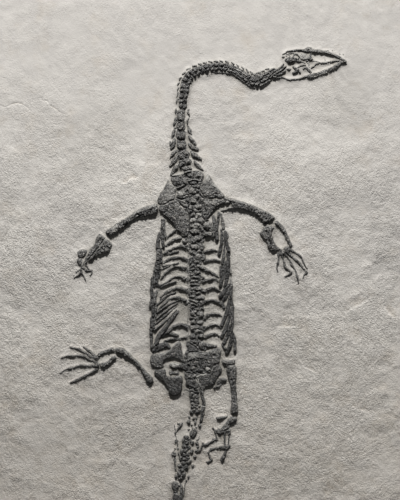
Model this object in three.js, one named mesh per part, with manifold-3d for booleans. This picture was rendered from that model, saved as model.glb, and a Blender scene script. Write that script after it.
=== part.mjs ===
// A small marine reptile of the Triassic, fossilised belly up on a slab of fine-grained rock.
//
// The slab lies flat: +Z is up, +Y runs from the tail towards the head, and the origin is the middle
// of its sawn underside. Every bone stands on the slab's upper face in low relief.
// Places on that face are read on its survey grid, squares of half a millimetre that are counted to
// the right and downwards from a datum near the upper left corner. Widths of slender bones are given
// in the same squares, and heights in millimetres.

import * as THREE from "three";
import { mergeVertices } from "three/addons/utils/BufferGeometryUtils.js";
import Module from "manifold-3d";

const wasm = await Module();
wasm.setup();

// ---------------------------------------------------------------- driving dimensions (millimetres)

const SLAB_WIDTH = 216;
const SLAB_LENGTH = 366;
const SLAB_THICKNESS = 16;
const CORNER_CUT = 7;
const CHIP_SPACING = 33; // length of one facet along the slab's broken edge
const CHIP_WAVE = { turn: 2.4, quickTurn: 5.3, quickShare: 0.6 }; // how the breaks vary along it

const GRID = 0.5; // side of one square of the survey grid
const GRID_MIDDLE = { x: 200, y: 350 }; // the square over the middle of the slab

const BONE_GAP = 0.3; // crack of matrix between a bone and the bone that overlaps it
const HIGHEST_BONE = 4; // no bone stands taller than this
const ROOT_DEPTH = 2; // how far a form runs down before it is trimmed at the slab's face
const BAR_STEP = 5.6; // length of one facet along a slender bone

const JAW_HEIGHT = 1.5;
const PALATE_HEIGHT = 0.45;
const SKULL_HEIGHT = 1.2;
const CENTRUM_HEIGHT = 2.1;
const WAIST = 0.74; // share of its size that a row of vertebrae keeps at each joint
const ROW_END = 0.45; // how far a row runs past its last vertebra, in vertebrae
const ROW_END_BEVEL = 0.01;
const SMALL_RIB_HEIGHT = 0.9;
const RIB_HEIGHT = 1.2;
const STRAND_HEIGHT = 0.9;
const PLATE_HEIGHT = 1.5;
const LIMB_HEIGHT = 2.1;
const FOREARM_HEIGHT = 1.6;
const DIGIT_HEIGHT = 0.9; // bones of this height and lower have plain edges

// ------------------------------------------------------------------------------- making of solids

/** Millimetres on the slab's face, from a place on the survey grid. */
function place([x, y]) {
  return new THREE.Vector2((x - GRID_MIDDLE.x) * GRID, (GRID_MIDDLE.y - y) * GRID);
}

/** A closed three.js geometry as a solid that can be joined and cut. */
function solidOf(geometry) {
  const bare = geometry.clone();
  bare.deleteAttribute("normal");
  bare.deleteAttribute("uv");
  const merged = mergeVertices(bare, 1e-4);
  return new wasm.Manifold(
    new wasm.Mesh({
      numProp: 3,
      vertProperties: merged.attributes.position.array,
      triVerts: new Uint32Array(merged.index.array),
    }),
  );
}

/** A solid back as a three.js geometry with flat facets. */
function geometryOf(solid) {
  const mesh = solid.getMesh();
  const geometry = new THREE.BufferGeometry();
  geometry.setAttribute("position", new THREE.BufferAttribute(mesh.vertProperties, 3));
  geometry.setIndex(new THREE.BufferAttribute(mesh.triVerts, 1));
  const faceted = geometry.toNonIndexed();
  faceted.computeVertexNormals();
  return faceted;
}

/** A prism on an outline between two heights, its outline moved outwards by grow. */
function prism(outline, bottom, top, grow = 0) {
  const geometry = new THREE.ExtrudeGeometry(new THREE.Shape(outline), {
    depth: top - bottom,
    bevelSegments: 0,
    bevelSize: 0,
    bevelThickness: 0,
    bevelOffset: grow,
  });
  return solidOf(geometry.translate(0, 0, bottom));
}

/** The room that a form takes up and its neighbours keep clear of. */
function roomOf(outline) {
  return prism(outline, SLAB_THICKNESS - ROOT_DEPTH, SLAB_THICKNESS + HIGHEST_BONE, BONE_GAP);
}

/** A flat bone: an outline with its upper rim rounded over by round, in millimetres. */
function plateOn(outline, height, round) {
  const shoulder = Math.min(round, 0.75 * height);
  const geometry = new THREE.ExtrudeGeometry(new THREE.Shape(outline), {
    depth: ROOT_DEPTH + height - shoulder,
    bevelEnabled: round > 0,
    bevelSegments: 1,
    bevelSize: round,
    bevelThickness: shoulder,
    bevelOffset: -round,
  });
  return {
    solid: solidOf(geometry.translate(0, 0, SLAB_THICKNESS - ROOT_DEPTH)),
    room: roomOf(outline),
  };
}

/** A flat bone from points round its rim. */
function plate(points, height = PLATE_HEIGHT, round = 0.8) {
  return plateOn(points.map(place), height, round);
}

/** The width at the share t of a bar, from one width or one for each point of its path. */
function widthAt(widths, t) {
  if (!Array.isArray(widths)) return widths * GRID;
  const reach = t * (widths.length - 1);
  const before = Math.min(Math.floor(reach), widths.length - 2);
  return GRID * THREE.MathUtils.lerp(widths[before], widths[before + 1], reach - before);
}

/** A slender bone: a band of changing width along a smooth path; the smallest have plain edges. */
function bar(path, widths, height = RIB_HEIGHT) {
  const curve = new THREE.SplineCurve(path.map(place));
  const steps = Math.max(1, Math.round(curve.getLength() / BAR_STEP), Math.ceil(path.length / 2));
  const oneSide = [];
  const otherSide = [];
  let narrowest = Infinity;
  for (let i = 0; i <= steps; i++) {
    const t = i / steps;
    const width = widthAt(widths, t);
    const along = curve.getTangent(t);
    const across = new THREE.Vector2(-along.y, along.x).multiplyScalar(width / 2);
    const middle = curve.getPoint(t);
    oneSide.push(middle.clone().add(across));
    otherSide.unshift(middle.clone().sub(across));
    narrowest = Math.min(narrowest, width);
  }
  const round = height > DIGIT_HEIGHT ? 0.3 * narrowest : 0;
  return plateOn([...oneSide, ...otherSide], height, round);
}

/** A boss: the upper half of a flattened ball on an oval, rx by ry squares. */
function knob([x, y], [rx, ry], height = CENTRUM_HEIGHT) {
  const geometry = new THREE.SphereGeometry(1, 6, 4);
  geometry.rotateX(Math.PI / 2);
  geometry.scale(rx * GRID, ry * GRID, height);
  const middle = place([x, y]);
  geometry.translate(middle.x, middle.y, SLAB_THICKNESS);
  const oval = new THREE.EllipseCurve(middle.x, middle.y, rx * GRID, ry * GRID);
  return { solid: solidOf(geometry), room: roomOf(oval.getPoints(8).slice(0, 8)) };
}

/**
 * A row of vertebrae: a rod with a bead for each vertebra, turned on a lathe, then bent so that its
 * axis passes through the given centres. sides holds the half width at each centre, in squares.
 */
function row(centres, sides, height = CENTRUM_HEIGHT) {
  const spine = new THREE.SplineCurve(centres.map(place));
  const last = centres.length - 1;
  const rim = ROW_END - ROW_END_BEVEL;
  const profile = [new THREE.Vector2(0, -ROW_END), new THREE.Vector2(WAIST, -rim)];
  for (let i = 0; i <= last; i++) {
    profile.push(new THREE.Vector2(1, i));
    profile.push(new THREE.Vector2(WAIST, i + (i < last ? 0.5 : rim)));
  }
  profile.push(new THREE.Vector2(0, last + ROW_END));
  const spotAt = (at) => {
    const t = THREE.MathUtils.clamp(at / last, 0, 1);
    const along = spine.getTangent(t);
    const across = new THREE.Vector2(along.y, -along.x).multiplyScalar(widthAt(sides, t));
    const spacing = spine.getLength() / last;
    const middle = spine.getPoint(t).addScaledVector(along, (at - t * last) * spacing);
    return { middle, across };
  };
  const geometry = new THREE.LatheGeometry(profile, 8);
  const { position } = geometry.attributes;
  for (let i = 0; i < position.count; i++) {
    const { middle, across } = spotAt(position.getY(i));
    const aside = position.getX(i);
    const spot = middle.addScaledVector(across, aside);
    position.setXYZ(i, spot.x, spot.y, SLAB_THICKNESS + height * position.getZ(i));
  }
  const oneSide = [];
  const otherSide = [];
  for (const { x: radius, y: at } of profile) {
    if (radius === 0) continue;
    const { middle, across } = spotAt(at);
    oneSide.push(middle.clone().addScaledVector(across, radius));
    otherSide.unshift(middle.clone().addScaledVector(across, -radius));
  }
  return { solid: solidOf(geometry), room: roomOf([...oneSide, ...otherSide]) };
}

/** All solids of a list joined. */
function joined(solids) {
  return solids.reduce((whole, next) => whole.add(next));
}

// ---------------------------------------------------------------------------------------- the slab

/**
 * The outline of one bed of the slab: a rectangle with cut corners whose edge is broken back here
 * and there. inset is how far the bed stands back, chip how deep its largest breaks run, and
 * turn shifts the breaks along the edge.
 */
function bedOutline(inset, chip, turn) {
  const halfWidth = SLAB_WIDTH / 2 - inset;
  const halfLength = SLAB_LENGTH / 2 - inset;
  const corners = [
    [halfWidth, -halfLength + CORNER_CUT],
    [halfWidth, halfLength - CORNER_CUT],
    [halfWidth - CORNER_CUT, halfLength],
    [-halfWidth + CORNER_CUT, halfLength],
    [-halfWidth, halfLength - CORNER_CUT],
    [-halfWidth, -halfLength + CORNER_CUT],
    [-halfWidth + CORNER_CUT, -halfLength],
    [halfWidth - CORNER_CUT, -halfLength],
  ].map(([x, y]) => new THREE.Vector2(x, y));
  const points = [];
  let count = 0;
  corners.forEach((corner, i) => {
    const next = corners[(i + 1) % corners.length];
    const pieces = Math.max(1, Math.round(corner.distanceTo(next) / CHIP_SPACING));
    const along = next.clone().sub(corner).normalize();
    const inwards = new THREE.Vector2(-along.y, along.x);
    for (let k = 0; k < pieces; k++) {
      const slow = Math.sin(CHIP_WAVE.turn * count + turn);
      const quick = Math.sin(CHIP_WAVE.quickTurn * count + 2 * turn);
      const wave = (slow + CHIP_WAVE.quickShare * quick) / (1 + CHIP_WAVE.quickShare);
      const depth = chip * Math.max(0, wave);
      const point = corner.clone().lerp(next, k / pieces).addScaledVector(inwards, depth);
      points.push(point);
      count += 1;
    }
  });
  return points;
}

/** The slab: beds of rock one on another, each broken back a little differently. */
function matrixSlab() {
  const beds = [
    { bottom: 0, top: 5.2, inset: 0, chip: 2.2, turn: 0.4 },
    { bottom: 5.2, top: 10.8, inset: 1.1, chip: 3.2, turn: 2.1 },
    { bottom: 10.8, top: 15.1, inset: 0.5, chip: 3.4, turn: 4.4 },
    { bottom: 15.1, top: SLAB_THICKNESS, inset: 2.4, chip: 5.4, turn: 5.6 },
  ];
  return joined(
    beds.map(({ bottom, top, inset, chip, turn }) => prism(bedOutline(inset, chip, turn), bottom, top)),
  );
}

// ---------------------------------------------------------------------------------------- the head

const lowerJaw = [
  bar(
    [[282, 54.5], [286, 52.5], [290, 51], [298, 50.5], [305, 50.5], [313, 51], [322, 52.2], [331, 53.8],
      [338, 56], [343, 58.5], [345.5, 61]],
    [1.4, 2, 2.4, 2.6, 3, 3.6, 3.4, 3.2, 3.2, 3.4, 3.4],
    JAW_HEIGHT,
  ),
  bar(
    [[345, 60.5], [341, 62.8], [337, 65.5], [331.5, 68.3], [325, 71], [318, 74], [311, 75.8],
      [307, 76.8], [300, 78.3], [294.5, 79.3], [289, 79.3], [285, 78], [281, 77.7], [276, 78.2]],
    [3.6, 4.2, 4.6, 4, 3.6, 4, 5, 3.8, 2.6, 2.3, 2.3, 2.2, 2, 1.6],
    JAW_HEIGHT,
  ),
  knob([309.5, 48.9], [4, 2], JAW_HEIGHT),
  knob([310.5, 78], [3.6, 2.4], JAW_HEIGHT),
];

const skull = [
  plate(
    [[285, 56], [291, 54], [300, 53.5], [311, 54.5], [315, 60], [316, 64], [311, 72], [302, 75.5],
      [290, 76.5], [285.5, 72], [287, 64]],
    PALATE_HEIGHT,
    0.3,
  ),
  plate(
    [[284, 60.5], [286.8, 58], [292, 57.4], [298, 57.5], [297.5, 60.5], [294.5, 63.4], [289, 64],
      [286, 62.8]],
    SKULL_HEIGHT,
    0.5,
  ),
  bar([[293.4, 58.5], [294, 55.5], [297, 54.4], [299.2, 57], [297.6, 59.5]], 1.7, SKULL_HEIGHT),
  bar([[294, 61.4], [300, 62.4], [305.5, 64.4]], [2.4, 1.8, 1.8], SKULL_HEIGHT),
  bar([[305.3, 65.4], [300.6, 66], [297.5, 67.8]], 1.7, SKULL_HEIGHT),
  plate([[307.5, 59], [309, 54.5], [312, 54], [311.4, 57], [314.4, 60], [310, 60.2]], SKULL_HEIGHT, 0.4),
  bar([[303, 69.2], [306, 68.2], [308.4, 70.6], [311.3, 73.3]], [2.4, 3, 3, 3], SKULL_HEIGHT),
  bar(
    [[339, 60.3], [330.4, 62.2], [325, 63], [319.5, 63], [316.2, 64], [314, 66], [311.4, 68.6]],
    1.7,
    SKULL_HEIGHT,
  ),
  knob([289.8, 70.2], [3.2, 1.5], SKULL_HEIGHT),
  bar([[295, 66.8], [298, 69.8], [300.8, 73]], 2, SKULL_HEIGHT),
  bar([[298.4, 70.4], [295.6, 72.6], [293.6, 74]], 2.2, SKULL_HEIGHT),
];

// ---------------------------------------------------------------------------------------- the neck

/** The centre and the half width of each vertebra of the neck, from the head back. */
const neckVertebrae = [
  [[280.5, 70.4], 4.6], [[275.5, 72.9], 4.4], [[271, 75.1], 4], [[266, 77.9], 4], [[261, 80.3], 4.1],
  [[256, 81.8], 4.4], [[251, 80.7], 5], [[246, 77.6], 5.2], [[241.5, 74.2], 5.2], [[236.5, 70.9], 5.2],
  [[231, 68.3], 5.1], [[225, 66.5], 5.1], [[219, 66.1], 5.1], [[213, 66.5], 5.2], [[207, 67.1], 5.2],
  [[201, 68.8], 5.3], [[195, 72], 5.3], [[190, 77], 5.3], [[186.8, 83.5], 5], [[184.8, 90.5], 4.6],
  [[183.2, 98.8], 3.6], [[182.4, 108.6], 4.2], [[181.3, 117.8], 4.3], [[180.4, 126.5], 4.3],
  [[180, 135.8], 4.8], [[181.4, 145.2], 5], [[182.4, 154.2], 4.8], [[184.6, 162], 5], [[185.6, 169.4], 5],
];

const neckRibs = [
  bar([[187, 99], [189, 105]], [2, 1.6], SMALL_RIB_HEIGHT),
  bar([[179.5, 97], [177, 105]], [2, 1.6], SMALL_RIB_HEIGHT),
  bar([[179.5, 108], [176.3, 116]], [2.4, 1.8], SMALL_RIB_HEIGHT),
  bar([[185.5, 109], [189, 117.5]], [2.4, 1.8], SMALL_RIB_HEIGHT),
  bar([[178.5, 117], [174.4, 125]], [2.6, 2], SMALL_RIB_HEIGHT),
  bar([[184.5, 116.5], [189, 124]], [2.8, 2], SMALL_RIB_HEIGHT),
  bar([[177.5, 127], [174, 138]], [2.8, 2], SMALL_RIB_HEIGHT),
  bar([[183.5, 125.5], [189.5, 130.5], [191.5, 135]], [4, 4, 2], SMALL_RIB_HEIGHT),
  bar([[176.5, 135], [172.5, 144.5]], [3, 2], SMALL_RIB_HEIGHT),
  bar([[184, 135], [190, 139], [195.5, 145]], [4, 3.4, 2.4], SMALL_RIB_HEIGHT),
  bar([[177.5, 143], [172, 144.5], [169.6, 149]], [4, 3, 2], SMALL_RIB_HEIGHT),
  bar([[185.5, 145], [192, 146], [198.5, 150]], [4.4, 4, 3], SMALL_RIB_HEIGHT),
  bar([[179, 150.5], [174, 153.5], [169.6, 158.5]], [4, 4, 2.6], SMALL_RIB_HEIGHT),
  bar([[186, 154], [192, 154], [201.5, 160.5]], [4.6, 4.6, 3], SMALL_RIB_HEIGHT),
  bar([[182.5, 159], [176, 160.5], [169.5, 166]], [4, 4.4, 2], SMALL_RIB_HEIGHT),
  bar([[189, 162], [195, 163], [204.5, 170]], [4.6, 4.6, 3], SMALL_RIB_HEIGHT),
  bar([[181.5, 166.5], [176, 170], [170.6, 174.4]], [4, 3.8, 2.6], SMALL_RIB_HEIGHT),
];

const neck = [
  row(neckVertebrae.map(([centre]) => centre), neckVertebrae.map(([, halfWidth]) => halfWidth)),
  ...neckRibs,
];

// -------------------------------------------------------------------------------- shoulder girdle

const clavicleArch = [
  plate(
    [[172, 175.5], [178, 175], [185, 172.4], [190, 171], [196, 170.6], [201, 172], [203.6, 174.6],
      [203.4, 179], [200.5, 183.5], [196, 184.6], [189, 184.5], [183, 184], [178, 186], [173, 184],
      [170.5, 180]],
    PLATE_HEIGHT,
    1,
  ),
  knob([192, 181.5], [4.2, 3.2], LIMB_HEIGHT),
  knob([177, 180.5], [5.4, 4], LIMB_HEIGHT),
  knob([199, 176.5], [3.8, 4], LIMB_HEIGHT),
];

const scapulaLeft = [
  plate(
    [[167.7, 179.4], [170.2, 183.5], [174, 186.5], [176.2, 189], [175.6, 194.4], [175, 198.2],
      [170.2, 201.2], [165.8, 203.6], [160.9, 204.4], [157, 202.3], [157.9, 198.2], [162.5, 190.6],
      [165.8, 184]],
    PLATE_HEIGHT,
    1.1,
  ),
];

const scapulaRight = [
  plate(
    [[207.8, 175], [210.5, 177], [213.2, 181.3], [217, 186.8], [220.8, 191.2], [224.7, 196.6],
      [220.3, 198.8], [215.4, 197.7], [210, 198.8], [205, 197.2], [202.3, 194.4], [200.1, 189.5],
      [201.2, 184.6], [204.5, 180.3]],
    PLATE_HEIGHT,
    1.1,
  ),
];

const coracoidLeft = [
  plate(
    [[160.4, 205.3], [168, 203], [171.8, 200.4], [177.2, 200.4], [179.4, 205.3], [182.7, 211.3],
      [187, 218.4], [188.1, 225], [187.6, 233.7], [185.4, 236.4], [181.6, 237.5], [179.4, 234.2],
      [174.5, 228.2], [170.2, 222.2], [164.7, 216.8], [160.4, 213], [159.3, 208.6]],
    PLATE_HEIGHT,
    0.9,
  ),
];

const coracoidRight = [
  plate(
    [[223.6, 197.6], [226.3, 199.9], [229.6, 204.2], [224.7, 207], [218.7, 205.9], [214.3, 210.2],
      [210.5, 216.8], [205.6, 219.5], [200.7, 219.5], [199, 214], [197.4, 206.4], [195.6, 199.9],
      [196.3, 195], [200.7, 195.8], [205, 198.8], [210, 201], [215.4, 199.9], [220.3, 200.4]],
    PLATE_HEIGHT,
    0.7,
  ),
];

// ----------------------------------------------------------------------------------------- the back

/** The centre and the half width of each vertebra between shoulders and hips. */
const trunkVertebrae = [
  [[192, 190], 5.2], [[191.5, 200.5], 4.8], [[191.8, 210], 5], [[193.6, 218.6], 5.6], [[194.2, 226.6], 5.6],
  [[194.4, 233.2], 5.4], [[195.4, 240.4], 6.6], [[196, 248.8], 7.4], [[196.4, 258.4], 7.6],
  [[195.4, 268], 6.4], [[194.8, 278], 6.2], [[194.6, 289], 6.4], [[194.6, 300.5], 6.4],
  [[194.4, 311], 6.2], [[194.2, 320.6], 5.6], [[194, 329.4], 5.2], [[193.6, 338.4], 5.2],
  [[193.8, 346.6], 4.6],
];

const trunkProcesses = [
  bar([[199, 227], [204, 227.4], [210.5, 226.8]], [4, 3.6, 5], SMALL_RIB_HEIGHT),
  bar([[198, 232.5], [204, 232.2], [210.8, 231.6]], [3.4, 3, 3], SMALL_RIB_HEIGHT),
  bar([[200, 268], [203, 268.6]], [5, 4], SMALL_RIB_HEIGHT),
  bar([[199, 278], [203, 278]], [5, 4], SMALL_RIB_HEIGHT),
  bar([[199, 290], [203.5, 290]], [5, 4], SMALL_RIB_HEIGHT),
  bar([[199, 303], [203.5, 302.6]], [5, 4], SMALL_RIB_HEIGHT),
  bar([[198, 315.5], [203, 316]], [5, 4], SMALL_RIB_HEIGHT),
  bar([[198, 327], [203, 326.4]], [5, 4], SMALL_RIB_HEIGHT),
  bar([[197, 338], [202.5, 337]], [5, 4], SMALL_RIB_HEIGHT),
  bar([[197, 343], [202, 344.5], [205, 350]], [4, 5, 4], SMALL_RIB_HEIGHT),
];

const trunk = [
  row(trunkVertebrae.map(([centre]) => centre), trunkVertebrae.map(([, halfWidth]) => halfWidth)),
  ...trunkProcesses,
];

/** The ribs that show on the left, from the shoulder back: path outwards from the spine, and width. */
const leftRibs = [
  [[[186, 197], [178.3, 197]], [3, 2.6]],
  [[[186, 206.4], [182.6, 204.6], [179.4, 202.6]], [3.4, 3, 2.4]],
  [[[180, 238.6], [176, 239.4], [172, 241.4], [164.7, 247]], [3.6, 3.4, 3.4, 2.6]],
  [[[174.6, 231], [166.3, 238]], [2.8, 2.4]],
  [[[187.5, 247.8], [181, 246.5], [174, 248.5], [168, 251.5], [162.5, 254.5]], [4.6, 3.6, 3.4, 3.4, 2.8]],
  [[[187.5, 260.5], [182, 258.2], [176, 257.5], [169, 260], [163.5, 263.4]], [4.6, 3.6, 3.4, 3.2, 2.8]],
  [
    [[188, 270.5], [184, 268.5], [179, 267.2], [172, 268.5], [166, 273], [161, 279]],
    [4.4, 3.8, 3.2, 3, 3, 2.4],
  ],
  [
    [[187.5, 279.5], [184, 278], [180, 276.4], [174, 278], [168, 281], [162, 286]],
    [4.4, 3.6, 3, 3, 3, 2.4],
  ],
  [
    [[187.5, 291], [184, 289], [180, 288.2], [174, 288.8], [167, 292], [161, 297]],
    [4.6, 4, 3.6, 3.4, 3.2, 2.4],
  ],
  [
    [[187.5, 302.5], [183, 300], [179, 297.7], [174, 298], [167, 301], [159, 309]],
    [4.4, 4, 3.4, 3.2, 3, 2.4],
  ],
  [
    [[188, 327.5], [184, 325], [179, 325], [174, 327], [168, 331.5], [163, 337]],
    [4.6, 4.8, 4.6, 4.4, 4, 3],
  ],
  [[[187.5, 337], [181, 338.5], [175, 339.6], [168, 341]], [3.6, 3.2, 3, 2.6]],
];

/** The ribs that show on the right, in the same way. */
const rightRibs = [
  [[[203.6, 236], [208, 236.5], [213.4, 236]], [4.4, 3.6, 3]],
  [[[204, 253], [208, 251.5], [213, 250], [217, 251.5]], [4, 3.2, 3, 2.6]],
  [[[205.4, 261], [211, 260], [219, 260.6]], [4, 3.2, 2.8]],
  [[[204, 269.4], [208, 270.8], [212, 273], [218.4, 277]], [4, 3.6, 3.4, 2.8]],
  [[[204, 281], [209, 280.5], [214, 279.5], [218, 281.5]], [3.8, 3.2, 3, 2.6]],
  [[[204.4, 291], [208, 290], [213, 288.2], [219, 291]], [4.2, 3.6, 3.4, 2.8]],
  [[[204.8, 302], [210, 300.5], [216, 301.2], [221, 304], [223.6, 307.6]], [4, 3.2, 3.2, 4.4, 3.6]],
  [[[204.4, 317.6], [208, 315], [213, 314], [218, 314.5], [221.5, 316.5]], [4, 3.2, 3, 3, 2.4]],
  [[[204.6, 328], [209, 326.5], [213, 325.2], [217, 325.2], [221, 328.5]], [4, 3.2, 3, 3, 2.4]],
  [[[204.6, 337], [209, 335.5], [214, 334.2], [219, 336]], [4, 3.6, 3.4, 2.6]],
  [[[207, 345.5], [212, 346], [216, 346]], [4.6, 4.6, 3.6]],
];

/** Strands of the belly ribs down each flank, each lying on the next: path and width. */
const leftStrands = [
  [[[161.5, 221], [163, 228], [165, 235], [166, 238]], 3.5],
  [[[161.7, 226.6], [162.5, 235.8], [162.6, 247.3], [161, 256]], 3.4],
  [[[159.6, 232], [157, 241.3], [157.4, 250]], 3.4],
  [[[160, 248], [158.8, 257], [158, 267]], 4.8],
  [[[157.6, 264], [157, 276]], 6.4],
  [[[156, 273], [155.8, 282], [157.4, 288]], 5],
  [[[153.2, 277], [151.6, 288], [151.5, 300]], 3.8],
  [[[157, 285], [155.6, 295], [154.6, 306]], 5],
  [[[151.5, 298], [154, 310], [156, 321]], 4.8],
  [[[157.4, 304], [155.6, 316], [155.4, 330]], 4],
  [[[151.5, 319], [152.5, 330]], 4.6],
  [[[178.5, 311.5], [172, 319], [166, 327], [160, 335], [157, 342], [154, 351]], [3, 3.6, 4, 4.4, 4.6, 4]],
  [[[150.6, 325], [151.4, 338], [152.4, 348]], 4],
  [[[172, 293.8], [164.5, 299], [157, 304.5]], 1.8],
  [[[180, 299.6], [168, 305.4], [157, 312.5]], 2],
  [[[177, 303.4], [167, 310], [157, 318]], 2],
  [[[175, 308.4], [165.5, 315.5], [156, 323.4]], 2],
  [[[172, 314.4], [164, 321.5], [155.5, 330]], 2],
];

const rightStrands = [
  [[[212.7, 217.3], [214.9, 221], [214, 229], [213.2, 237.5]], [4, 3, 2.6, 2.4]],
  [[[219.2, 210.2], [217.6, 224.4], [216.2, 239.7]], 3.2],
  [[[220.3, 218.4], [223.6, 229.3], [227.4, 237.5]], 3.4],
  [[[218.6, 220], [221, 230.4], [221.2, 246]], 3.8],
  [[[223, 233], [228.5, 250], [229, 254]], 4.2],
  [[[221.6, 240], [219.8, 246], [219, 257]], 3.8],
  [[[224, 246], [223, 256], [221, 266]], 3.4],
  [[[227.6, 252], [228, 266], [225.4, 286]], [4.4, 5.2, 5]],
  [[[221, 264], [220.6, 275]], 4],
  [[[224, 271], [219.4, 286]], 4],
  [[[230.6, 271], [228, 280], [224, 289]], 3],
  [[[229.5, 279], [232, 288]], 2.6],
  [[[226.4, 286], [219.4, 297]], 4.2],
  [[[230, 288], [222.4, 300]], 4.2],
  [[[231, 287], [230.4, 302], [233, 308]], 4.6],
  [[[229.5, 299], [226, 315], [221.8, 326]], [4.6, 4.4, 3]],
  [[[232, 303], [232.5, 325], [231, 341]], 5.4],
  [[[228.6, 322], [222, 337]], [4.4, 3]],
  [[[230, 328], [222.6, 346]], [5, 3.4]],
  [[[233.4, 331], [235, 348]], 3.8],
  [[[231, 338], [230, 350], [224.8, 356]], [4.4, 3.8, 3]],
];

/** Strands as forms. */
function strands(list) {
  return list.map(([path, width]) => bar(path, width, STRAND_HEIGHT));
}

// ----------------------------------------------------------------------------------------- the hips

const pubisLeft = [
  plate(
    [[178.5, 341.5], [181, 343], [182, 350], [184, 357], [185.4, 361.6], [183.6, 363.6], [180, 361],
      [174, 359], [167, 360], [163.5, 363], [164, 367.4], [158, 368.6], [153, 367], [150, 362],
      [150.5, 356], [156, 354], [164, 352.5], [170, 349.5], [174, 344.5]],
    PLATE_HEIGHT,
    0.9,
  ),
];

const pubisRight = [
  plate(
    [[187.4, 357], [189, 353], [196, 351.4], [203, 352.5], [209, 351], [213, 349], [217, 347.5],
      [220.5, 348.5], [221.5, 352], [220.5, 358], [218.6, 363], [213, 364.5], [208, 363.5],
      [205.5, 360], [200, 358.5], [194, 359.5], [189.5, 361.5], [187.4, 363]],
    PLATE_HEIGHT,
    0.6,
  ),
];

const iliumRight = [
  plate(
    [[222, 359.5], [227, 360], [235, 359.5], [234.5, 363.4], [229, 365], [225, 367], [222.4, 364]],
    PLATE_HEIGHT,
    0.6,
  ),
];

const ischiumLeft = [
  plate(
    [[154.5, 371], [158, 369.8], [164, 368.8], [166, 371], [167, 376], [172, 376.5], [179, 375.5],
      [182.5, 376], [182.6, 383], [182.2, 391], [180.5, 395], [177, 397.5], [172, 397.5],
      [169, 395.5], [167, 391], [165, 386.5], [162, 382.5], [158, 379], [154.5, 376.5]],
    PLATE_HEIGHT,
    1,
  ),
];

const ischiumRight = [
  plate(
    [[197, 377.5], [203, 374.5], [208, 372.5], [212, 369], [217, 365.2], [219.5, 366], [223, 370],
      [219, 374], [216.5, 379], [213.5, 384], [210, 388], [205, 389], [203.5, 394], [202, 396],
      [200.5, 390], [199, 384], [197, 380]],
    PLATE_HEIGHT,
    0.6,
  ),
];

const sacrum = [
  row([[194.6, 358], [195.4, 366], [194, 374], [193, 382.4]], [4.6, 6.6, 6.2, 6.4]),
  knob([200.6, 365], [5, 4]),
  knob([175, 366], [5.5, 3.5], LIMB_HEIGHT),
  bar([[171, 373], [178.5, 373.4]], [4.4, 4], SMALL_RIB_HEIGHT),
  bar([[176, 369], [176.4, 373]], [3.6, 3.6], SMALL_RIB_HEIGHT),
  bar([[179, 367], [192, 367.6]], [3.8, 5], SMALL_RIB_HEIGHT),
  bar([[200, 367], [207.8, 369.6]], [7, 5], SMALL_RIB_HEIGHT),
];

// ----------------------------------------------------------------------------------------- the arms

const humerusLeft = [
  plate(
    [[157, 204.4], [150, 205.6], [143, 207.5], [135, 212], [127, 217.5], [120, 221.5], [112, 227],
      [106, 231], [105.4, 235], [110, 239], [115, 236.4], [120, 232.4], [127, 227.5], [133, 222],
      [140, 219.5], [148, 218], [157, 215.4], [158.4, 210]],
    LIMB_HEIGHT,
    1.4,
  ),
];

const ulnaLeft = [
  plate(
    [[104.6, 239.4], [108, 240], [110.8, 242], [112.5, 246], [110.5, 251], [107.5, 254], [102, 255],
      [97, 257.5], [92, 260.5], [88.6, 262.4], [88.4, 259], [93.4, 253.6], [98.6, 247.6], [102, 243]],
    FOREARM_HEIGHT,
    0.9,
  ),
];

const radiusLeft = [
  plate(
    [[99.5, 233.5], [103, 236], [104.4, 238.4], [101.4, 242.4], [97.6, 247.4], [92.6, 253.4],
      [87.6, 259.2], [87.2, 263], [84.5, 264], [85, 259], [87.5, 254], [91, 248.5], [94.5, 245],
      [95.5, 240], [97, 236]],
    FOREARM_HEIGHT,
    0.5,
  ),
];

const handLeft = [
  plate(
    [[77, 253.5], [79, 250.5], [84, 249.5], [87.4, 250.8], [86, 253.6], [83.4, 256.4], [82.6, 260],
      [81.8, 264.4], [80, 265.6], [77.6, 262.6], [76.2, 259.4], [78.4, 257]],
    FOREARM_HEIGHT,
    0.7,
  ),
  bar([[80.6, 263], [81.5, 268.4], [79, 270.4], [76, 272.4]], [2.4, 2.6, 1.8, 1.6], DIGIT_HEIGHT),
  bar([[83.2, 259.6], [82.4, 264.4], [81.6, 268]], [1.8, 1.6, 2], DIGIT_HEIGHT),
  bar([[81.6, 267.6], [81, 272.8], [77.4, 275.6], [74, 278]], [2.2, 3.6, 1.8, 1.6], DIGIT_HEIGHT),
  bar([[81.4, 272.4], [83.6, 276], [85.6, 280.4]], [2.4, 1.8, 1.6], DIGIT_HEIGHT),
  bar([[81.6, 266.8], [86.4, 270.4], [91.6, 270.8]], [1.6, 3, 1.8], DIGIT_HEIGHT),
  bar([[91.8, 270.4], [91.4, 273.4], [90, 275.8]], [2, 1.8, 1.4], DIGIT_HEIGHT),
];

const humerusRight = [
  plate(
    [[224.4, 199], [233, 199.4], [242, 201.4], [252, 205], [262, 209.5], [270, 213.5], [274, 217],
      [275.2, 219.4], [272, 223], [268, 225], [264.5, 225.8], [261.5, 223], [258, 219], [252, 215.4],
      [244, 212.4], [236, 210.8], [229, 212], [223, 213.4], [221.6, 208]],
    LIMB_HEIGHT,
    1.4,
  ),
];

const ulnaRight = [
  plate(
    [[264.5, 227], [269, 226], [273.4, 227], [274.4, 229], [272, 232.5], [272.5, 237], [274, 242],
      [277, 246], [280, 248.4], [280.4, 250.5], [277, 252], [272, 252.5], [269, 250],
      [266.5, 248], [267, 245], [264.5, 241], [261.5, 237.5], [260, 235], [261.5, 231]],
    FOREARM_HEIGHT,
    0.9,
  ),
];

const radiusRight = [
  bar([[276.6, 223], [280.5, 226.8], [284.2, 232], [287, 238], [289.5, 243.4], [290.4, 245.6]],
    [5, 4.6, 4, 4, 4.2, 4], FOREARM_HEIGHT),
];

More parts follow.
